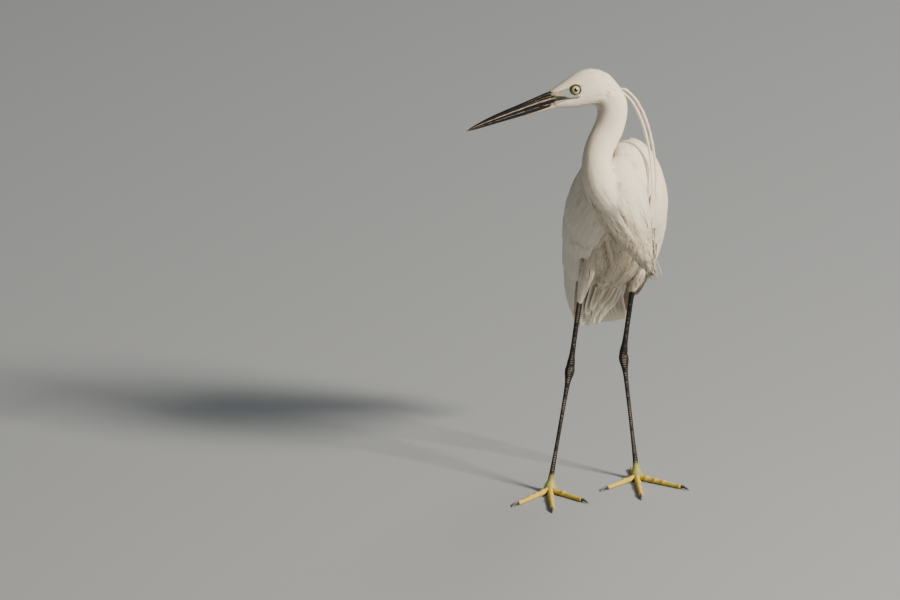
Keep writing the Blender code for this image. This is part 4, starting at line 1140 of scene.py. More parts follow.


# Loose feathers along lines: where roots follow it and how near, the way they hang and how much they run
# along the line, number for each mm2, how close to the coat they keep, length, width, rise, and beige with
# painted shade.
fringe = {
    "under": {  # along the breast's under edge; the lower ones hang free, between these heights
        "line": [
            (-20, -127, 299), (-12, -119.5, 283), (-4.6, -117, 271), (3.7, -113, 262), (12, -107, 253),
            (19, -99, 244), (26, -91, 233), (33, -74, 217),
        ],
        "near": 5.5, "hangs": (0.1, 0.35, -0.5), "along": 1.0, "density": 0.5, "cling": 0.45,
        "length": (9, 22), "width": (0.45, 0.8), "rise": (0.1, 0.9), "beige": (0.25, 1.0),
        "free": (222, 252),
    },
    "tip": {  # over the breast's lower end
        "line": [(27, -92, 236), (31, -84, 226), (34, -76, 219), (35, -70, 215)],
        "near": 7.0, "hangs": (0.18, 0.15, -1.0), "along": 0.3, "density": 1.0, "cling": 0.75,
        "length": (9, 15), "width": (0.6, 1.0), "rise": (0.3, 1.1), "beige": (0.15, 0.7),
    },
    "side": {  # from the breast's left edge over the wing
        "line": [(33, -96, 276), (34, -93, 262), (35, -86, 250), (36, -78, 238), (35, -72, 224)],
        "near": 6.0, "hangs": (0.70, -0.05, -0.80), "along": 0.2, "density": 1.0, "cling": 0.2,
        "length": (8, 15), "width": (0.6, 1.0), "rise": (0.0, 0.4), "beige": (0.05, 0.3),
    },
    "lock": {  # a pale lock over the right wing's edge
        "line": [
            (-37, -46, 244), (-35, -53, 248.5), (-31.3, -60.6, 251.3), (-27.6, -65.4, 250.8),
            (-25, -66.7, 247.3),
        ],
        "near": 3.0, "hangs": (0.05, 0.45, -1.0), "along": 0.0, "density": 3.4, "cling": 0.98,
        "length": (13, 21), "width": (0.7, 1.2), "rise": (1.3, 2.0), "beige": (0.0, 0.12),
    },
    "flank": {  # long ones from the belly's left side behind the left leg
        "line": [(30, -62, 236), (31, -48, 224), (31, -36, 213), (30, -25, 204)],
        "near": 8.0, "hangs": (0.12, 0.45, -0.90), "along": 0.2, "density": 0.6, "cling": 0.6,
        "length": (18, 32), "width": (0.55, 0.95), "rise": (0.4, 1.6), "beige": (0.3, 1.0),
    },
}
fringeSeed = 72


def makeFringe():
    chance = np.random.default_rng(fringeSeed)
    for name, edge in fringe.items():
        line = spline(edge["line"], np.linspace(0, len(edge["line"]) - 1, 60))

        def weight(points):
            away = np.linalg.norm(points[:, None] - line[None], axis=2)
            return edge["density"] * (1 - ease(away.min(axis=1), edge["near"] * 0.5, edge["near"]))

        root, normal = strew(weight, chance)
        size = len(root)
        nearest = np.argmin(np.linalg.norm(root[:, None] - line[None], axis=2), axis=1)
        part = nearest / len(line)
        way = unit(np.gradient(line, axis=0))[nearest] * edge["along"] + edge["hangs"]
        way = unit(unit(way) + chance.normal(size=(size, 3)) * 0.07)
        gather, apart = gatherLocks(root, way, normal, np.full(size, 0.6), chance, 0.05)
        place, turn = trunkPlace(root)
        tufts = {
            "root": root,
            "normal": normal,
            "way": way,
            "length": chance.uniform(*edge["length"], size) * (0.6 + 0.4 * ease(part, 0.1, 0.6)),
            "width": chance.uniform(*edge["width"], size),
            "rise": chance.uniform(*edge["rise"], size),
            "cling": edge["cling"] * ease(root[:, 2], *edge.get("free", (0, 1))),
            "gather": gather * 0.7,
            "swell": gather * -0.6,
            "tint": chance.random(size),
            "beige": between(edge["beige"], apart.clip(0, 1) * chance.random(size)),
            "map": trunkMap(place, turn, 40),
        }
        growTufts("coat_fringe_" + name, tufts)
        print("fringe", name, size)


makeWisps()
makeFringe()


# Tiers: how many, roots and tips along the axis (first and last), roots and tips round the body in
# degrees, half width, height over the pad at root and tip, tilt of one over the next.
tiers = {
    "primaries": (7, (132, 116), (256, 272), (98, 60), (94, 40), 6.6, (-2.2, -1.3), 0.4),
    "secondaries": (13, (106, 96), (214, 258), (108, 24), (107, 24), 8.0, (-1.6, 0.1), 0.5),
    "greater_coverts": (12, (74, 66), (136, 162), (117, 28), (113, 27), 8.6, (-1.3, 0.6), 0.45),
    "median_coverts": (13, (40, 34), (92, 112), (127, 28), (123, 27), 8.4, (-1.2, 0.7), 0.4),
    "lesser_coverts": (14, (14, 10), (58, 70), (132, 28), (130, 27), 7.8, (-2.4, 0.5), 0.35),
    "scapulars": (7, (8, 36), (92, 178), (46, 26), (44, 27), 8.0, (-2.4, 1.3), 0.6),
}
vane = {
    "across": np.array([-1, -0.86, -0.5, -0.08, 0.0, 0.08, 0.5, 0.86, 1]),
    "crown": np.array([-0.05, 0.12, 0.2, 0.22, 0.55, 0.22, 0.2, 0.12, -0.05]),  # the shaft in the middle
    "under": np.array([0.6, 0.0, -0.6]),
    "steps": np.array([0, 0.1, 0.22, 0.36, 0.5, 0.62, 0.72, 0.80, 0.86, 0.905, 0.94, 0.965, 0.985, 0.996]),
    "form": [  # the half width's share along it
        (0, 0.42), (0.12, 0.75), (0.35, 1.0), (0.72, 1.0), (0.82, 0.93), (0.89, 0.78), (0.94, 0.6),
        (0.97, 0.44), (0.99, 0.26), (1, 0.1),
    ],
    "thick": 0.35,
    "ragged": 0.012,
    "jitter": np.array([1.2, 2.4, 0.8, 0.05]),  # of a feather's root, tip, turn in degrees and width's share
}


# One flight feather or covert: a grid along and across, closed below, its edges a little uneven.
def vaneGrid(pointAt, halfWidth, chance, slim=1.0):
    steps = vane["steps"]
    form = np.interp(steps, *np.array(vane["form"]).T) * halfWidth
    uneven = 1 + vane["ragged"] * chance.normal(size=(len(steps), 2)) * (steps > 0.3)[:, None]
    across = np.concatenate([vane["across"], vane["under"]])
    height = np.concatenate([vane["crown"], np.full(len(vane["under"]), -vane["thick"])]) * slim
    wide = form[:, None] * across * np.where(across < 0, uneven[:, :1], uneven[:, 1:])
    grid = pointAt(steps[:, None], wide, height[None, :] * np.ones((len(steps), 1)))
    tip = pointAt(np.array([[1.0]]), np.array([[0.0]]), np.array([[0.0]]))[0, 0]
    return grid, tip, across


def joinVanes(name, grids, finish, replaced):  # all vanes of one piece in one mesh
    points, quads, tris, along, cross, tint, bakes = [], [], [], [], [], [], []
    base = 0
    cells = int(np.ceil(np.sqrt(len(grids))))
    for number, (grid, tip, across) in enumerate(grids):
        rows, size = grid.shape[:2]
        q, t = tubeFaces(rows, size, base)
        block = np.vstack([grid.reshape(-1, 3), grid[0].mean(axis=0), tip])
        a, b, c, d = (block[q[:, i] - base] for i in range(4))
        a, b, c, d = (corner - a[0] for corner in (a, b, c, d))
        if np.einsum("ij,ij->i", a, np.cross(b, c) + np.cross(c, d)).sum() < 0:
            q, t = q[:, ::-1], t[:, ::-1]
        points.append(block)
        quads.append(q)
        tris.append(t)
        along.append(np.concatenate([np.repeat(vane["steps"], size), [0.0, 1.0]]))
        cross.append(np.concatenate([np.broadcast_to(across, (rows, size)).ravel(), [0.0, 0.0]]))
        tint.append(np.full(len(block), (number * 0.618) % 1.0))
        cell = np.array([number % cells, number // cells]) + 0.08
        bakes.append((cell + np.stack([cross[-1] * 0.5 + 0.5, along[-1]], -1) * 0.84) / cells)
        base += len(block)
    fields = {"along": np.concatenate(along), "across": np.concatenate(cross), "tint": np.concatenate(tint)}
    thing = buildMesh(name, np.vstack(points), np.vstack(quads), np.vstack(tris), fields, 50)
    setMap(thing, np.vstack(bakes))
    finishPiece(thing, "white_feathers", finish, replaced)


def makeWing(letter):
    chance = np.random.default_rng(wings["seed"][letter])
    grids = []
    for count, roots, tips, rootTurns, tipTurns, halfWidth, heights, tilt in tiers.values():
        for number in range(count):
            part = number / (count - 1)
            jitter = chance.uniform(-1, 1, 4) * vane["jitter"]
            ends = between(roots, part) + jitter[0], between(tips, part) + jitter[1]
            turns = between(rootTurns, part), between(tipTurns, part) + jitter[2]
            wide = halfWidth * (1 + jitter[3])

            def pointAt(along, across, height):
                place = between(ends, along) + 0 * across
                around = across / profile(trunk["bed"], place)[..., 0]
                turn = np.radians(between(turns, along)) + around
                lift = wingLift(place, turn) + heights[0] + (heights[1] - heights[0]) * along**0.6
                lift = np.maximum(lift + tilt * across / wide, wings["inner"] + 0.7) + height
                return wingPoint(letter, place, turn, lift)

            grids.append(vaneGrid(pointAt, wide, chance))
    joinVanes("wing_feathers_" + letter, grids, finishes["flight"], "wing_" + letter)


for wingLetter in ("l", "r"):
    makeWing(wingLetter)
print("wings made")

# Tail feathers lie on a shallow arch, a parabola across the tail. Each pair starts a little further out
# and lower than the one above it, spreads more, and ends sooner. The undertail's feathers lie below them,
# bowed by half a sine wave, and are hollow across, the more so towards their tips.
tail = {
    "root": 190,
    "under": 8,  # how far the feathers start before it
    "tip": 279,
    "pairs": 6,
    "halfWidth": 5.4,
    "arch": 0.012,
    # roots and tips from the middle, and level: the first pair's, and more for each next pair
    "spread": [(0.9, 1.1), (2.2, 3.2), (1.1, -0.72)],
    "shorter": (0.4, 0.45),  # for each pair, and for its square
    "left": (1.6, 0.36),  # how much shorter and higher the left one of a pair is
    "seed": 31,
}
undertail = {
    "rows": [  # across at the root and at the tip, tip along the trunk, level, half width
        (-16, -22, 238, -2.0, 5.5), (15, 12, 240, -2.0, 5.5), (-12, -17, 248, -3.4, 5.6),
        (12, 6, 250, -3.4, 5.6), (-8, -13, 258, -4.8, 5.6), (8, 0, 260, -4.8, 5.6),
        (-4, -9, 266, -6.0, 5.4), (4, -4, 268, -6.2, 5.4), (10, -1, 246, -7.4, 5.2),
        (-9, -15, 244, -7.4, 5.2), (0, -9, 252, -8.6, 5.2), (5, -6, 236, -9.8, 5.0),
        (-5, -12, 234, -9.8, 5.0),
    ],
    "root": 160,
}


def onTail(place, wide, height):
    place, wide, height = np.broadcast_arrays(place, wide, height)
    left, axis, back = trunkAxes()
    rise = 1.5 - tail["arch"] * wide**2 + height
    return trunk["start"] + axis * place[..., None] + left * wide[..., None] + back * rise[..., None]


def makeTail():
    chance = np.random.default_rng(tail["seed"])
    grids = []
    for pair in range(tail["pairs"]):
        for sign in (-1, 1):
            offset, spread, level = (first + more * pair for first, more in tail["spread"])
            end = tail["tip"] - tail["shorter"][0] * pair - tail["shorter"][1] * pair**2
            if sign > 0:
                end, level = end - tail["left"][0], level + tail["left"][1]

            def pointAt(along, across, height):
                place = between((tail["root"] - tail["under"], end), along)
                return onTail(place, sign * (offset + (spread - offset) * along) + across, level + height)

            grids.append(vaneGrid(pointAt, tail["halfWidth"], chance, 0.9))
    for across0, across1, end, level, halfWidth in undertail["rows"]:
        bow = chance.uniform(-1.5, 1.5)

        def pointAt(along, across, height):
            place = between((undertail["root"], end), along)
            wide = across0 + (across1 - across0) * along**1.5 + bow * np.sin(np.pi * along) + across
            cup = 0.05 * across**2 * along
            return onTail(place, wide, level * (1.6 - 0.6 * along) + 0.9 * cup - height + 0.8 * along**4)

        grids.append(vaneGrid(pointAt, halfWidth, chance, 0.8))
    joinVanes("tail_feathers", grids, finishes["tail"], "tail")


makeTail()
print("tail made")


# Loose thin blades: each a three-sided sliver from its root along its way, drooping by sag.
def slivers(root, way, up, length, width, sag):
    steps, widths = np.array([0.0, 0.4, 0.8, 1.0]), np.array([0.7, 1.0, 0.6, 0.0])
    side = unit(np.cross(way, up))
    rings = []
    for step, share in zip(steps[:-1], widths):
        middle = root + way * (length * step)[:, None] - up * (sag * length * step**2)[:, None]
        half = (width * share / 2)[:, None]
        rings.append(np.stack([middle - side * half, middle + up * half * 0.7, middle + side * half], 1))
    rings.append((root + way * length[:, None] - up * (sag * length)[:, None])[:, None, :])
    along = np.tile(np.concatenate([np.repeat(steps[:-1], 3), [1.0]]), len(root))
    return np.concatenate(rings, axis=1).reshape(-1, 3), *bladeFaces(len(root)), along


# The long loose plumes of the back: a shaft each, with barbs on both its sides. A shaft's place and turn
# go from its root's to its tip's, and its height over the wings' bed follows the heights, smoothed.
backPlumes = {
    "rows": [  # root and tip along the trunk, root and tip round it in degrees, the tip's height
        (74, 206, -7, -46, 11.5), (82, 226, -5, -28, 11), (92, 244, -3, -13, 10.5), (100, 252, 0, 2, 10.5),
        (94, 246, 3, 16, 10.5), (86, 236, 5, 31, 11), (78, 228, 5.5, 50, 14), (72, 226, 6, 66, 22),
        (66, 220, 6.5, 78, 30),
    ],
    "count": 33,
    "barbs": 50,  # on each side of a plume
    "barbLength": (10.0, 9.0),  # at the root and at the tip
    "barbWidth": (0.3, 0.55),
    "barbAngle": (6, 20),  # degrees from the shaft
    "shaft": 0.42,
    "heights": [(0, 2.2), (0.08, 6.4), (0.18, 11.2), (0.7, 11.2)],  # along a plume, over the wings' bed
    "jitter": np.array([8, 7, 3, 0.6, 0]),  # of root, tip, the tip's turn in degrees, height
    "sag": 0.06,
    "seed": 21,
}


def makeBackPlumes():
    chance = np.random.default_rng(backPlumes["seed"])
    axis = trunkAxes()[1]
    shafts, root, way, up, length = [], [], [], [], []
    table = np.array(backPlumes["rows"], float)
    for number in range(backPlumes["count"]):
        row = spline(table, number / (backPlumes["count"] - 1) * (len(table) - 1))
        jitter = chance.uniform(-1, 1, 5) * backPlumes["jitter"]
        along = np.linspace(0, 1, 40)
        place = between((row[0] + jitter[0], row[1] - 6 + jitter[1]), along)
        spread = np.interp(along, [0, 0.15, 1], [0, 0.04, 1])
        turn = np.radians(between((row[2], row[3] + jitter[2]), spread))
        lift = np.interp(along, *np.array([*backPlumes["heights"], (1, row[4] - 0.6)]).T) - 0.6 + jitter[3]
        lift = np.convolve(np.pad(lift, 2, "edge"), np.ones(5) / 5, "valid")
        line = bedPoint(trunk["bed"], place, turn, lift)
        outward = unit(bedPoint(trunk["bed"], place, turn, lift + 1) - line)
        ahead = unit(np.gradient(line, axis=0))
        taper = np.interp(along, [0, 0.5, 1], [1, 0.6, 0.25]) * backPlumes["shaft"]
        shafts.append(tubeGrid(line, np.cross(axis, outward[20]), taper, taper, 5))
        for side in (-1, 1):
            step = np.sort(chance.uniform(0.06, 1.0, backPlumes["barbs"]))
            on, to = (unit(readAlong(step, along, values)) for values in (outward, ahead))
            angle = np.radians(chance.uniform(*backPlumes["barbAngle"], len(step)))[:, None]
            root.append(readAlong(step, along, line))
            up.append(on)
            way.append(unit(to * np.cos(angle) + side * np.cross(to, on) * np.sin(angle)))
            length.append(between(backPlumes["barbLength"], step) * chance.uniform(0.7, 1.25, len(step)))
    root, way, up, length = np.vstack(root), np.vstack(way), np.vstack(up), np.concatenate(length)
    width = chance.uniform(*backPlumes["barbWidth"], len(root))
    blocks = [slivers(root, way, up, length, width, backPlumes["sag"])]
    base = len(blocks[0][0])
    for grid in shafts:
        rows, size = grid.shape[:2]
        points = np.vstack([grid.reshape(-1, 3), grid[0].mean(axis=0), grid[-1].mean(axis=0)])
        along = np.concatenate([np.repeat(np.linspace(0.4, 1, rows), size), [0.4, 1]])
        blocks.append((points, *tubeFaces(rows, size, base), along))
        base += len(points)
    points, quads, tris, along = (np.concatenate(values) for values in zip(*blocks))
    tint = chance.random(len(points)) * 0.5
    fields = {"along": 0.35 + 0.65 * along, "tint": tint, "beige": 0.2 + 0 * along}
    plumes = buildMesh("back_plume_barbs", points, quads, tris, fields, 50)
    setMap(plumes, trunkMap(*trunkPlace(points), 20))
    finishPiece(plumes, "white_feathers", finishes["plume"], "back_plumes")


makeBackPlumes()


# Longer lance-shaped feathers over the mantle, between the wings.
def makeMantle():
    chance = np.random.default_rng(mantle["seed"])

    def weight(points):
        place, turn = trunkPlace(points, trunk["bed"])
        start, end = mantle["ends"]
        grows = (np.abs(turn) < mantle["round"]) & (place > start) & (place < end)
        return np.where(grows, mantle["density"], 0.0)

    root, normal = strew(weight, chance)
    place, turn = trunkPlace(root)
    axis = np.tile(trunkAxes()[1], (len(root), 1))
    size = len(root)
    tufts = {
        "root": root,
        "normal": normal,
        "way": axis + 0.2 * np.cross(axis, trunkAxes()[2]) * np.sin(turn)[:, None],
        "length": (mantle["length"][0] + mantle["length"][1] * place) * chance.uniform(0.8, 1.2, size),
        "width": chance.uniform(*mantle["width"], size),
        "rise": chance.uniform(*mantle["rise"], size) * (0.3 + 0.7 * ease(place, mantle["ends"][0], 50)),
        "cling": np.full(size, mantle["cling"]),
        "tint": chance.random(size),
        "beige": np.full(size, mantle["beige"]),
        "map": trunkMap(place, turn, 20),
    }
    growTufts("mantle_feathers", tufts)


makeMantle()
print("back plumes and mantle made")


# The two nape plumes: a section with a shallow ridge and a shaft, carried along a smooth curve through
# the line's points and tapered to its tip, with fine barbs along both edges.
crest = {
    "line": [
        (2, -94, 394), (8.4, -91, 391.5), (15.9, -88, 384), (21.3, -86, 375.2), (25.8, -85.5, 365.5),
        (29.4, -86, 355), (32.2, -87.5, 344), (34.4, -89.5, 332.5), (35.8, -92, 320), (36.2, -94.5, 307),
        (35.8, -96, 285),
    ],
    "apart": (1.75, 0.0, 1.0),
    "halfWidth": 1.2,
    "taper": [(0, 0.7), (0.1, 1), (0.6, 0.95), (0.85, 0.7), (0.97, 0.35), (1, 0.12)],
    "section": [  # across and forwards, as shares of the half width
        (-1, -0.1), (-0.5, 0.16), (-0.1, 0.3), (0, 0.42), (0.1, 0.3), (0.5, 0.16), (1, -0.1),
        (0.4, -0.2), (-0.4, -0.2),
    ],
    "barbs": 260,
    "barbLength": (2.5, 4.5),
    "barbWidth": (0.2, 0.34),
    "barbAngle": (5, 13),  # degrees from the shaft
    "ragged": 0.07,
    "sag": 0.02,
    "seed": 51,
}


def makeCrest():
    chance = np.random.default_rng(crest["seed"])
    for number, sign in ((1, 1), (2, -1)):
        line = np.array(crest["line"], float) + np.array(crest["apart"]) * sign
        steps = np.linspace(0, 1, 110)
        smooth = spline(line, steps * (len(line) - 1))
        ahead = unit(np.gradient(smooth, axis=0))
        side = unit(np.array([1, 0, 0.3]) - (ahead @ [1, 0, 0.3])[:, None] * ahead)
        front = np.cross(ahead, side)
        front *= np.sign(-front[:, 1:2])
        half = np.interp(steps, *np.array(crest["taper"]).T) * crest["halfWidth"]
        across, height = np.array(crest["section"]).T
        ragged = 1 + crest["ragged"] * chance.normal(size=(len(steps), 1))
        grid = (
            smooth[:, None, :]
            + side[:, None, :] * (half[:, None] * across * ragged)[..., None]
            + front[:, None, :] * (half[:, None] * height * 1.2)[..., None]
        )
        tint = np.full((1, 1), 0.25 + 0.2 * number)
        fields = {"along": 0.3 + 0.7 * steps[:, None], "tint": tint, "beige": 0.25}
        body = tube("crest_plume_body", grid, None, smooth[-1] + ahead[-1] * 1.0, fields, 50)
        body.data.materials.append(finishes["plume"])
        step = np.sort(chance.uniform(0.02, 0.99, crest["barbs"]))
        to, across = (unit(readAlong(step, steps, values)) for values in (ahead, side))
        out = chance.choice([-1, 1], len(step))[:, None]
        wide = np.interp(step, steps, half)[:, None]
        angle = np.radians(chance.uniform(*crest["barbAngle"], len(step)))[:, None]
        way = unit(to * np.cos(angle) + out * across * np.sin(angle))
        up = unit(np.cross(across, to)) * -1
        root = readAlong(step, steps, smooth) + out * across * wide * 0.75
        size = chance.uniform(*crest["barbLength"], len(step))
        width = chance.uniform(*crest["barbWidth"], len(step))
        points, quads, tris, along = slivers(root, way, up, size, width, crest["sag"])
        fields = {"along": along, "tint": along * 0, "beige": 0.15 + 0 * along}
        barbs = buildMesh("crest_barbs", points, quads, tris, fields, 50)
        barbs.data.materials.append(finishes["plume"])
        plume = joined("crest_feather_" + str(number), [body, barbs])
        finishPiece(plume, "white_feathers", None, "crest_plume_" + str(number))


makeCrest()
print("crest made")


bill = {
    "rows": [  # x, top, mouth line, bottom, half width
        (24, 5.8, -2.9, -10.4, 5.4), (32, 5.5, -2.1, -9.6, 4.9), (42, 4.9, -1.7, -8.2, 4.3),
        (54, 4.3, -1.4, -6.6, 3.7), (68, 3.8, -1.2, -5.4, 3.1), (82, 2.8, -1.1, -4.3, 2.4),
        (94, 1.2, -1.2, -3.4, 1.6), (103, -0.5, -1.5, -2.5, 0.8),
    ],
    "tip": (106.0, -1.6),
    "square": 0.85,
    "base": 19.0,
    "apart": 0.14,
    "groove": [(24, 34.0), (34, 33.0), (60, 30.0)],  # the side groove's angle up from the mouth's edge
    "nostril": (34.5, 36.0, 3.2, 9.0, 0.75),  # x, angle, half length, half height in degrees, depth
    "black": ((0.004, 0.004, 0.005), (0.020, 0.019, 0.019)),
    "upperLines": (0.47, 0.36, 0.26),
    "lowerLines": (0.60, 0.50, 0.38),
}


# How far out the head's side is at a place in its own frame: an ellipse between its top and bottom there.
def headSide(x, z):
    top, bottom, wide = np.moveaxis(profile(headRows, x), -1, 0)
    return wide * np.sqrt(np.clip(1 - ((2 * z - top - bottom) / (top - bottom)) ** 2, 0, 1))


def eyeFinish():
    made = Finish("eye_wet", 0.08, coat=1.0)
    radial, around = made.field("radial"), made.field("around")
    cells = made.node("CombineXYZ", {}, {"X": around * 60.0, "Y": radial * 0.8})
    streaks = made.noise(cells, 1.0, 2.0)
    iris = made.mix(streaks.over(0.3, 0.75), *eye["irisColours"])
    iris = made.mix(radial.over(eye["iris"] - 1.0, eye["iris"] - 0.25), iris, eye["irisEdge"])
    iris = made.mix(radial.over(eye["pupil"] - 0.08, eye["pupil"] + 0.12), eye["pupilColour"], iris)
    rim = radial.over(eye["iris"] - 0.05, eye["iris"] + 0.2)
    made.put("Base Color", made.mix(rim, iris, eye["rimColour"]))
    return made.material


# The bill's colour from the place along it and how far up its side: black, with pale lines lengthwise,
# which waver and break, a pale lower edge near the base, and pale flecks of painted highlight along the top.
def hornColour(made, x, around, upper):
    broad = made.noise(made.node("CombineXYZ", {}, {"X": x * 0.05, "Y": around * 2.4}), 1.0, 3.0)
    thin = made.noise(made.node("CombineXYZ", {}, {"X": x * 0.16, "Y": around * 20.0}), 1.0, 4.0)
    dark = made.mix(thin, *bill["black"])
    level = around + (broad - 0.5) * 0.09

    def line(middle, half):
        return 1.0 - (level - middle).size().over(half * 0.4, half)

    broken = thin.over(0.38, 0.56)
    if upper:
        near = 1.0 - x.over(36.0, 64.0)
        pale = line(0.19, 0.075) * (0.45 + 0.5 * broken) + line(0.37, 0.035) * broken * near * 0.5
        # the last term: pale flecks along the ridge near the base, a painted highlight
        pale = pale + line(0.62, 0.07) * broken * near * 0.45 + level.over(0.86, 0.96) * broken * near * 0.7
    else:
        low = (level - (x - 30.0) * 0.012).over(0.36, 0.50) * (1.0 - x.over(56.0, 74.0))
        low = low * (0.8 + 0.2 * broken)
        pale = low + line(0.17, 0.04) * broken * 0.6 + level.over(0.88, 0.96) * broken * 0.4
        pale = pale + (1.0 - x.over(22.0, 29.0)) * level.over(0.1, 0.3) * 0.8
    tone = bill["upperLines" if upper else "lowerLines"]
    return made.mix(pale.over(0.1, 1.0) * 0.9, dark, tone), thin


def faceFinish():
    made = Finish("face_bare_skin", 0.5)
    x, rise = made.field("forward"), made.field("rise")
    where = made.place()
    grain = made.noise(where, 500.0, 4.0)
    folds = made.noise(made.node("CombineXYZ", {}, {"X": x * 0.12, "Y": rise * 1.1}), 1.0, 3.0)
    patch = grain * 0.5 + folds * 0.6
    colour = made.mix(patch.over(0.35, 0.75), *face["skin"])
    colour = made.mix(x.over(13.0, 18.0) * patch.over(0.3, 0.6), colour, face["yellow"])
    colour = made.mix(x.over(12.0, 20.0) * (-3.4 - rise).over(0.0, 1.2), colour, face["jaw"])
    wedge = (x * 0.46 - 7.4 - rise + (folds - 0.5) * 3.0).over(-0.3, 0.6) * x.over(7.0, 10.0)
    wedge = wedge * (rise + 5.6 - x * 0.1).over(-0.4, 0.3)
    colour = made.mix(wedge * (0.55 + 0.45 * patch.over(0.3, 0.6)), colour, face["wedge"])
    # painted shade, near black, in the mouth's crease
    colour = made.mix(made.field("gape").over(0.3, 0.85), colour, face["creaseShade"])
    upper, _ = hornColour(made, x, made.field("upper"), True)
    lower, _ = hornColour(made, x, made.field("lower"), False)
    horn = made.mix(made.field("upper").over(0.0, 0.01), lower, upper)
    made.put("Base Color", made.mix((x + (grain + folds - 1.0) * 9.0).over(18.5, 23.0), colour, horn))
    made.put("Roughness", 0.38 + grain * 0.25)
    made.bump(grain * 0.6 + folds * 0.5, 0.4, 0.0003)
    return made.material


def ringFinish():
    made = Finish("eyelid_skin", 0.45)
    where = made.place()
    made.put("Base Color", made.mix(made.noise(where, 900.0, 3.0), *eye["lidColours"]))
    made.bump(made.noise(where, 1500.0, 3.0), 0.4, 0.0003)
    return made.material


# Each eyeball is a sphere whose front bulges by a bell curve of the angle from its middle. Each lid is two
# rings of oval section round it, crinkled by a wave of the turn, which follow the side of the head.
def makeEyes():
    shine, lids = eyeFinish(), ringFinish()
    for side, letter in ((1, "l"), (-1, "r")):
        place = np.array(eye["place"]) * [1, side, 1]
        steps = np.linspace(0, np.pi, 42)[1:-1]
        turn = np.linspace(0, 2 * np.pi, 48, endpoint=False)
        bulge = 1 + 0.05 * np.exp(-((steps / 0.55) ** 2))
        ball = np.stack(np.broadcast_arrays(
            (np.sin(steps) * bulge)[:, None] * np.cos(turn),
            (np.cos(steps) * bulge * side)[:, None],
            (np.sin(steps) * bulge)[:, None] * np.sin(turn),
        ), -1) * (eye["radius"] - 0.05)
        poles = np.array([[0, side * 1.05, 0], [0, -side, 0]]) * (eye["radius"] - 0.05)
        radial = np.hypot(ball[..., 0], ball[..., 2]) + 20 * (steps > 1.5)[:, None]
        fields = {"radial": radial, "around": turn[None, :] / (2 * np.pi)}
        grid, ends = headToBird(ball + place), headToBird(poles + place)
        globe = tube("eyeball_" + letter, grid, ends[0], ends[1], fields)
        finishPiece(globe, "eye", shine, "eye_" + letter)
        small = np.linspace(0, 2 * np.pi, 14, endpoint=False)
        rings = []
        for radius, wide, high, lift in eye["lids"]:
            crinkle = 1 + 0.12 * np.sin(turn * 17 + side)[:, None]
            out = radius + wide * np.cos(small)
            x, z = out * np.cos(turn)[:, None], out * np.sin(turn)[:, None] + place[2]
            flat = place[1] * side + 2.25
            y = 0.55 * headSide(x, z) + 0.45 * flat + lift + high * crinkle * np.sin(small)
            grid = headToBird(np.stack([x, y * side, z], -1))
            rows, size = grid.shape[:2]
            i, j = np.meshgrid(np.arange(rows), np.arange(size), indexing="ij")
            k, ahead = (j + 1) % size, (i + 1) % rows
            quads = np.stack([i * size + j, i * size + k, ahead * size + k, ahead * size + j], -1)
            rings.append(buildMesh("lid", grid.reshape(-1, 3), quads.reshape(-1, 4)[:, ::side]))
        finishPiece(joined("eyelid_" + letter, rings), "bill_horn", lids)


# The bare face: a thin sheet on the side of the head, its edges under the feathers. Nine sine waves fold
# it lengthwise, and the mouth's crease is a bell curve across its line, which runs back under the eye.
def makeFace():
    finish = faceFinish()
    chance = np.random.default_rng(face["seed"])
    for side, letter in ((1, "l"), (-1, "r")):
        x = np.linspace(*face["sheet"], 110)
        above, below, mouth = (np.interp(x, *np.array(face[key]).T) for key in ("above", "below", "mouth"))
        above, below = above + face["under"], below - face["under"]
        part = np.linspace(0, 1, 61)
        z = below[:, None] + (above - below)[:, None] * part
        behind = ease(x, face["sheet"][0], face["sheet"][0] + 2)[:, None]
        rim = np.minimum(ease(part, 0, 0.09), ease(1 - part, 0, 0.09)) * behind
        folds = np.zeros_like(z)
        for _ in range(face["waves"]):
            far, phase, tilt = chance.uniform(1.0, 2.6), chance.uniform(0, 6.28), chance.uniform(-0.12, 0.12)
            folds += np.sin(z * far * 2.2 + x[:, None] * tilt * 4 + phase) * 0.03
        gape = np.exp(-(((z - mouth[:, None]) / 0.32) ** 2)) * ease(x, -2.0, 1.0)[:, None]
        fullness = 0.30 + 0.25 * np.exp(-(((z - mouth[:, None] - 1.1) / 0.8) ** 2)) + folds
        ahead = 1 - ease(x[:, None] + 0.9 * np.sin(z * 1.3), *face["ends"])
        lift = -0.55 + rim * ahead * (0.55 + fullness) - gape * 0.75
        y = headSide(x[:, None], z) + lift
        under = headSide(x[:, None], z) - face["thick"]
        outer, inner = (np.stack(np.broadcast_arrays(x[:, None], out * side, z), -1) for out in (y, under))
        grid = headToBird(np.concatenate([outer, inner[:, ::-1]], axis=1))
        fields = {
            "forward": np.broadcast_to(x[:, None], grid.shape[:2]),
            "rise": np.concatenate([z, z[:, ::-1]], axis=1),
            "gape": np.concatenate([gape, gape * 0], axis=1),
        }
        top, _, bottom, _ = np.array(bill["rows"][0][1:], float)
        for label, most in (("upper", top), ("lower", bottom)):  # how far up the bill's side, as on the bill
            share = np.clip((z - mouth[:, None]) / (most - mouth[:, None]), 0, 1)
            share = np.arcsin(share) / (np.pi / 2)
            fields[label] = np.concatenate([share, share[:, ::-1]], axis=1)
        finishPiece(tube("face_skin_" + letter, grid, None, None, fields, 60), "bill_horn", finish)


makeEyes()
makeFace()
print("eyes and face made")


def billFinish(name, upper):
    made = Finish(name, 0.32)
    made.put("Specular IOR Level", 0.3)
    x, around = made.field("forward"), made.field("around")
    colour, thin = hornColour(made, x, around, upper)
    made.put("Base Color", colour)
    made.put("Roughness", 0.26 + thin * 0.28)
    made.bump(thin * 0.6 + made.noise(made.place(), 700.0, 3.0) * 0.4, 0.25, 0.0003)
    return made.material


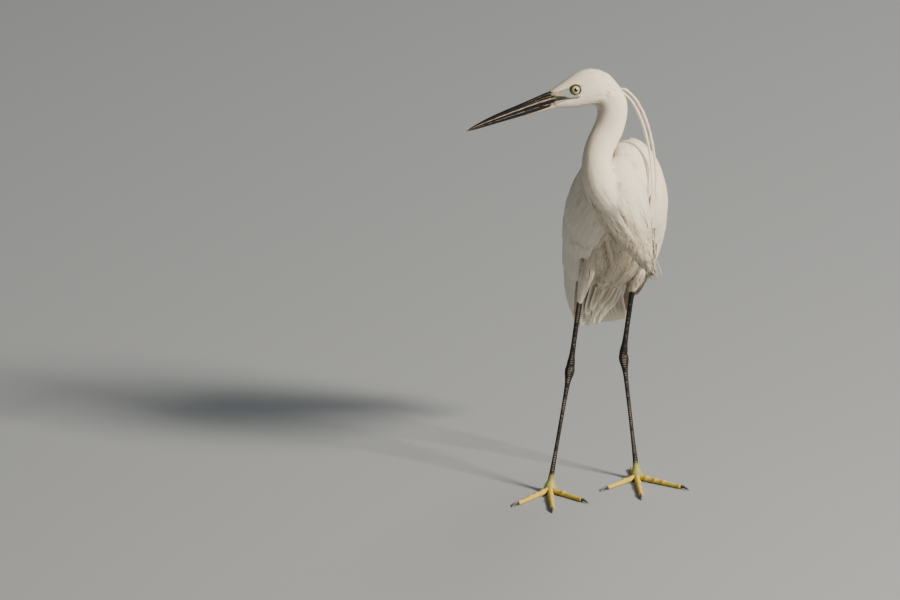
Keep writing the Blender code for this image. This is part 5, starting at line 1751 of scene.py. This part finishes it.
# Each half of the bill runs round from the mouth's line over its ridge: the cosine of the turn, raised to
# a power that squares it, times the half width, and the sine times the height. A groove and the nostril
# dent its side as bell curves of the angle up it, and both halves shrink to the tip.
def makeBill():
    x = np.concatenate([np.linspace(bill["base"], 40, 90), np.linspace(40.4, 105.2, 150)])
    top, mouth, bottom, wide = np.moveaxis(profile(bill["rows"], np.clip(x, 24, 103)), -1, 0)
    shrink = 1 - 0.75 * ease(x, 100, 105.6)
    for name, sign in (("bill_upper", 1), ("bill_lower", -1)):
        upper = sign > 0
        turn = np.linspace(0, np.pi, 49) * sign
        base = mouth + bill["apart"] / 2 * sign
        rise = (top - base) if upper else (base - bottom)
        across = np.sign(np.cos(turn)) * np.abs(np.cos(turn)) ** bill["square"]
        angle = np.degrees(np.abs(np.arcsin(np.sin(turn))))
        if upper:
            line = np.interp(x, *np.array(bill["groove"]).T)[:, None]
            dent = 0.28 * np.exp(-(((angle - line) / 5.0) ** 2))
            dent = dent * (ease(x, 22, 26) * (1 - ease(x, 52, 64)))[:, None]
            at, up, halfLong, halfHigh, depth = bill["nostril"]
            slit = 1 - ((x[:, None] - at) / halfLong) ** 2 - ((angle - up) / halfHigh) ** 2
            dent += depth * ease(slit, 0, 0.8)
            lip = ((x[:, None] - at) / (halfLong + 1)) ** 2 + ((angle - up - 13) / 7) ** 2
            dent -= 0.16 * np.exp(-lip)
        else:
            dent = 0.22 * np.exp(-(((angle - 38) / 7.0) ** 2))
            dent = dent * (ease(x, 24, 30) * (1 - ease(x, 60, 84)))[:, None]
        y = ((wide * shrink)[:, None] - dent) * across
        z = base[:, None] + (rise * shrink)[:, None] * np.sin(turn)
        outer = np.stack(np.broadcast_arrays(x[:, None], y, z), -1)
        inner = outer[:, ::-1][:, 1:-1] * [1, 1, 0]
        inner[..., 2] = base[:, None] + 0.12 * sign * (rise * shrink)[:, None] * 0.8
        grid = headToBird(np.concatenate([outer, inner], axis=1))
        tip = headToBird([bill["tip"][0] - (0 if upper else 0.5), 0, bill["tip"][1] + 0.2 * sign])
        side = np.concatenate([angle, np.zeros(grid.shape[1] - len(angle))]) / 90
        fields = {"forward": x[:, None], "around": side}
        piece = tube(name + "_horn", grid, None, tip, fields, 60)
        finishPiece(piece, "bill_horn", billFinish(name + "_horn", upper), name)


makeBill()
print("bill made")

leg = {
    "shank": [(0, 1.02), (0.3, 0.98), (0.6, 0.96), (0.82, 1.12), (0.92, 1.45), (1, 1.6)],
    "shankRadius": 2.5,
    "tarsus": [
        (0, 4.0), (0.03, 4.6), (0.07, 4.3), (0.12, 3.1), (0.2, 2.3), (0.4, 1.95), (0.7, 1.9), (0.9, 2.3),
        (1, 2.9),
    ],
    "scute": 2.1,  # mm along the leg for each plate in front
    "plate": 0.16,  # the plates' height
    "palmTop": 15.0,
    "palm": [(0, 2.75), (0.3, 3.3), (0.6, 5.1), (0.85, 5.7), (1.0, 4.7)],
}
toes = {  # angle from straight ahead towards the bird's left in degrees, length with the claw, joints
    "r": {
        "outer": (-35, 60, (0.22, 0.42, 0.6)), "middle": (2, 68, (0.3, 0.56)),
        "inner": (43, 52, (0.42,)), "hind": (176, 33, (0.3,)),
    },
    "l": {
        "outer": (53, 60, (0.22, 0.42, 0.6)), "middle": (3.5, 68, (0.3, 0.56)),
        "inner": (-39.5, 52, (0.42,)), "hind": (190, 33, (0.3,)),
    },
}
toeForm = {"radius": 2.7, "taper": 0.26, "sink": 0.35, "claw": 9.0, "scute": 1.5, "plate": 0.2}
clawForm = {
    "radii": [(0, 1.6), (0.3, 1.28), (0.6, 0.82), (0.85, 0.4), (1, 0.08)],
    # above the toe's end, but the last one above the floor
    "heights": [(0, 0.3), (0.3, 0.5), (0.6, -0.15), (0.85, -0.75), (1, 0.35)],
}
scales = {
    "black": ((0.004, 0.004, 0.004), (0.022, 0.021, 0.020)),
    # painted highlight on the front plates
    "frontHighlight": (0.36, 0.28, 0.22),
    "foot": ((0.24, 0.25, 0.06), (0.44, 0.40, 0.09)),
    "footSides": (0.58, 0.42, 0.06),
    "seams": (0.13, 0.12, 0.03),
    "change": (15.5, 21.0),  # heights between which yellow gives way to black
    "claw": ((0.012, 0.011, 0.011), (0.06, 0.05, 0.045)),
    "clawPale": (0.36, 0.31, 0.26),
}


def scalesFinish(name, dark):
    made = Finish(name, 0.45)
    made.put("Specular IOR Level", 0.25 if dark else 0.45)
    plate, front, height = made.field("plate"), made.field("front"), made.field("height")
    where = made.place()
    cells = made.node("TexVoronoi", {"feature": "DISTANCE_TO_EDGE"}, {"Vector": where, "Scale": 620.0})
    grain = made.noise(where, 500.0, 3.0)
    blotch = made.noise(where, 90.0, 3.0)
    black = made.mix(grain, *scales["black"])
    highlightBreaks = made.noise(where, 260.0, 2.0)
    # pale beads on the front plates: a painted highlight, broken up by noise
    frontHighlight = front.over(0.86, 0.99) * plate.over(0.3, 0.8) * (blotch * 0.6 + highlightBreaks * 0.5).over(0.48, 0.62)
    black = made.mix(frontHighlight * 0.65, black, scales["frontHighlight"])
    yellow = made.mix((blotch * 0.7 + grain * 0.4).over(0.35, 0.75), *scales["foot"])
    yellow = made.mix(front.over(-0.1, 0.8), scales["footSides"], yellow)
    yellow = made.mix((1.0 - plate.over(0.0, 0.35)) * 0.6, yellow, scales["seams"])
    low = 1.0 - (height + blotch * 6.0).over(*scales["change"])
    made.put("Base Color", made.mix(low, black, yellow))
    made.put("Roughness", 0.34 + grain * 0.3)
    made.bump(cells.over(0.0, 0.3) * 0.6 + grain * 0.4, 0.35 if dark else 0.3, 0.00025)
    return made.material


# A scaly limb along a line: an oval tube whose plates in front are shallow steps, each rising evenly to
# its lower edge and falling off sharply there, and whose back is wavy. Nothing of it goes below the floor.
def scalyTube(name, line, radii, finish, spacing, plate, slim=0.94, floor=-1.0, size=28, side=(1, 0, 0)):
    far = np.concatenate([[0], np.cumsum(np.linalg.norm(np.diff(line, axis=0), axis=1))])
    turn = np.linspace(0, 2 * np.pi, size, endpoint=False)
    front = np.cos(turn)[None, :] * np.ones((len(line), 1))
    phase = (far / spacing)[:, None] % 1.0
    step = np.minimum(phase / 0.85, (1 - phase) / 0.15)
    on = ease(front, 0.0, 0.35)
    height = plate * (step * on + 0.3 * (1 - on) * np.sin(far / spacing * 4.1 * 2)[:, None])
    grid = tubeGrid(line, side, radii * (1 / slim), radii, size)
    grid = line[:, None, :] + (grid - line[:, None, :]) * (1 + (height / radii[:, None]))[..., None]
    grid[..., 2] = np.maximum(grid[..., 2], floor)
    fields = {"plate": step * on + 0.6 * (1 - on), "front": front, "height": grid[..., 2]}
    limb = tube(name, grid, None, None, fields, 60)
    limb.data.materials.append(finish)
    return limb


# A leg is a tube through the knee and the heel, its corners rounded by a moving average and its radii
# smooth between the rows. The foot's middle is one straight down to the floor. A toe tapers evenly, swells
# at its joints by bell curves, and comes down to the floor by a parabola. A claw curves to its point.
def makeLeg(letter, blackFinish, yellowFinish, clawFinish):
    rows = legRows[letter]
    thighLine = np.array(rows["thigh"], float)[:, :3]
    knee, heel, foot = thighLine[-1], np.array(rows["heel"], float), np.array(rows["foot"], float)
    down = unit(foot - heel)
    start = knee - unit(thighLine[-1] - thighLine[-2]) * 6
    end = foot - down * (leg["palmTop"] - foot[2] - 2.5)
    corners = np.array([start, knee, heel, end])
    lengths = np.linalg.norm(np.diff(corners, axis=0), axis=1)
    far = np.concatenate([[0], np.cumsum(lengths)])
    at = np.arange(0, far[-1], 0.42)
    line = np.pad(readAlong(at, far, corners), ((9, 9), (0, 0)), "reflect", reflect_type="odd")
    window = np.hanning(19) / np.hanning(19).sum()
    line = np.stack([np.convolve(line[:, i], window, "valid") for i in range(3)], -1)
    shankPart, tarsusPart = (at - far[1]) / lengths[1], (at - far[2]) / lengths[2]
    radii = np.where(
        tarsusPart < 0,
        profile(leg["shank"], np.clip(shankPart, 0, 1))[..., 0] * leg["shankRadius"],
        profile(leg["tarsus"], np.clip(tarsusPart, 0, 1))[..., 0],
    ) - 0.12
    limb = scalyTube("leg_" + letter, line, radii, blackFinish, leg["scute"], leg["plate"])
    finishPiece(limb, "black_scales", None, "shank_" + letter, "tarsus_" + letter)

    steps = np.linspace(0, 1, 50)
    top = foot - down * (leg["palmTop"] - foot[2])
    bottom = np.array([foot[0], foot[1], 0.55])
    palmLine = top + (bottom - top) * steps[:, None]
    palmRadii = profile(leg["palm"], steps)[..., 0]
    pieces = [scalyTube("palm", palmLine, palmRadii, yellowFinish, 1.7, 0.14, 1.0, 0.2)]
    for toe, (angle, length, joints) in toes[letter].items():
        way = np.array([np.sin(np.radians(angle)), -np.cos(np.radians(angle)), 0.0])
        side = np.cross(way, [0, 0, 1])
        span = length - toeForm["claw"]
        part = np.linspace(0.02, 1, int(span / 0.34))
        swell = 1 + 0.2 * sum(np.exp(-(((part - joint) / 0.035) ** 2)) for joint in joints)
        swell = swell * (1 + 0.14 * np.exp(-(((part - 0.97) / 0.05) ** 2)))
        radii = toeForm["radius"] * (1 - toeForm["taper"] * part) * swell - 0.1
        toeLine = np.array([foot[0], foot[1], 0.0]) + way * (span * part)[:, None]
        toeLine[:, 2] = np.maximum(3.6 * (1 - part) ** 2, radii - toeForm["sink"])
        radii = radii * np.interp(part, [0.97, 0.99, 1.0], [1, 0.86, 0.55])
        plates = toeForm["scute"], toeForm["plate"]
        pieces.append(scalyTube("toe", toeLine, radii, yellowFinish, *plates, 1.0, 0.12, 24, side))
        start = toeLine[-1] + way * -0.6
        share, heights = np.array(clawForm["heights"]).T
        corners = start + way * (toeForm["claw"] + 1) * share[:, None]
        corners[:, 2] += heights
        corners[-1, 2] = heights[-1]
        curve = spline(corners, np.linspace(0, 4, 40))
        clawPart = np.linspace(0, 1, 40)
        clawRadii = np.interp(clawPart, *np.array(clawForm["radii"]).T)
        grid = tubeGrid(curve, side, clawRadii * 1.12, clawRadii * 0.92, 20)
        turn = np.linspace(0, 2 * np.pi, 20, endpoint=False)
        grid[..., 2] = np.maximum(grid[..., 2], 0.1)
        fields = {"along": clawPart[:, None], "under": -np.cos(turn)[None, :]}
        name = toe + "_" + letter
        claw = tube("claw_horn_" + name, grid, None, None, fields)
        finishPiece(claw, "claw_horn", clawFinish, "claw_" + name)
    feet = joined("foot_" + letter, pieces)
    solids = ["toe_" + toe + "_" + letter for toe in toes[letter]]
    finishPiece(feet, "yellow_scales", None, "palm_" + letter, *solids)


def hornFinish():
    made = Finish("claw_horn", 0.3)
    along, under = made.field("along"), made.field("under")
    grain = made.noise(made.place(), 400.0, 3.0)
    dark = made.mix(grain, *scales["claw"])
    pale = along.over(0.55, 1.0) * 0.6 + under.over(0.2, 0.9) * 0.35
    made.put("Base Color", made.mix(pale, dark, scales["clawPale"]))
    made.put("Roughness", 0.22 + grain * 0.2)
    return made.material


legFinishes = [scalesFinish("leg_black", True), scalesFinish("foot_yellow", False), hornFinish()]
for legLetter in ("l", "r"):
    makeLeg(legLetter, *legFinishes)
print("legs made")
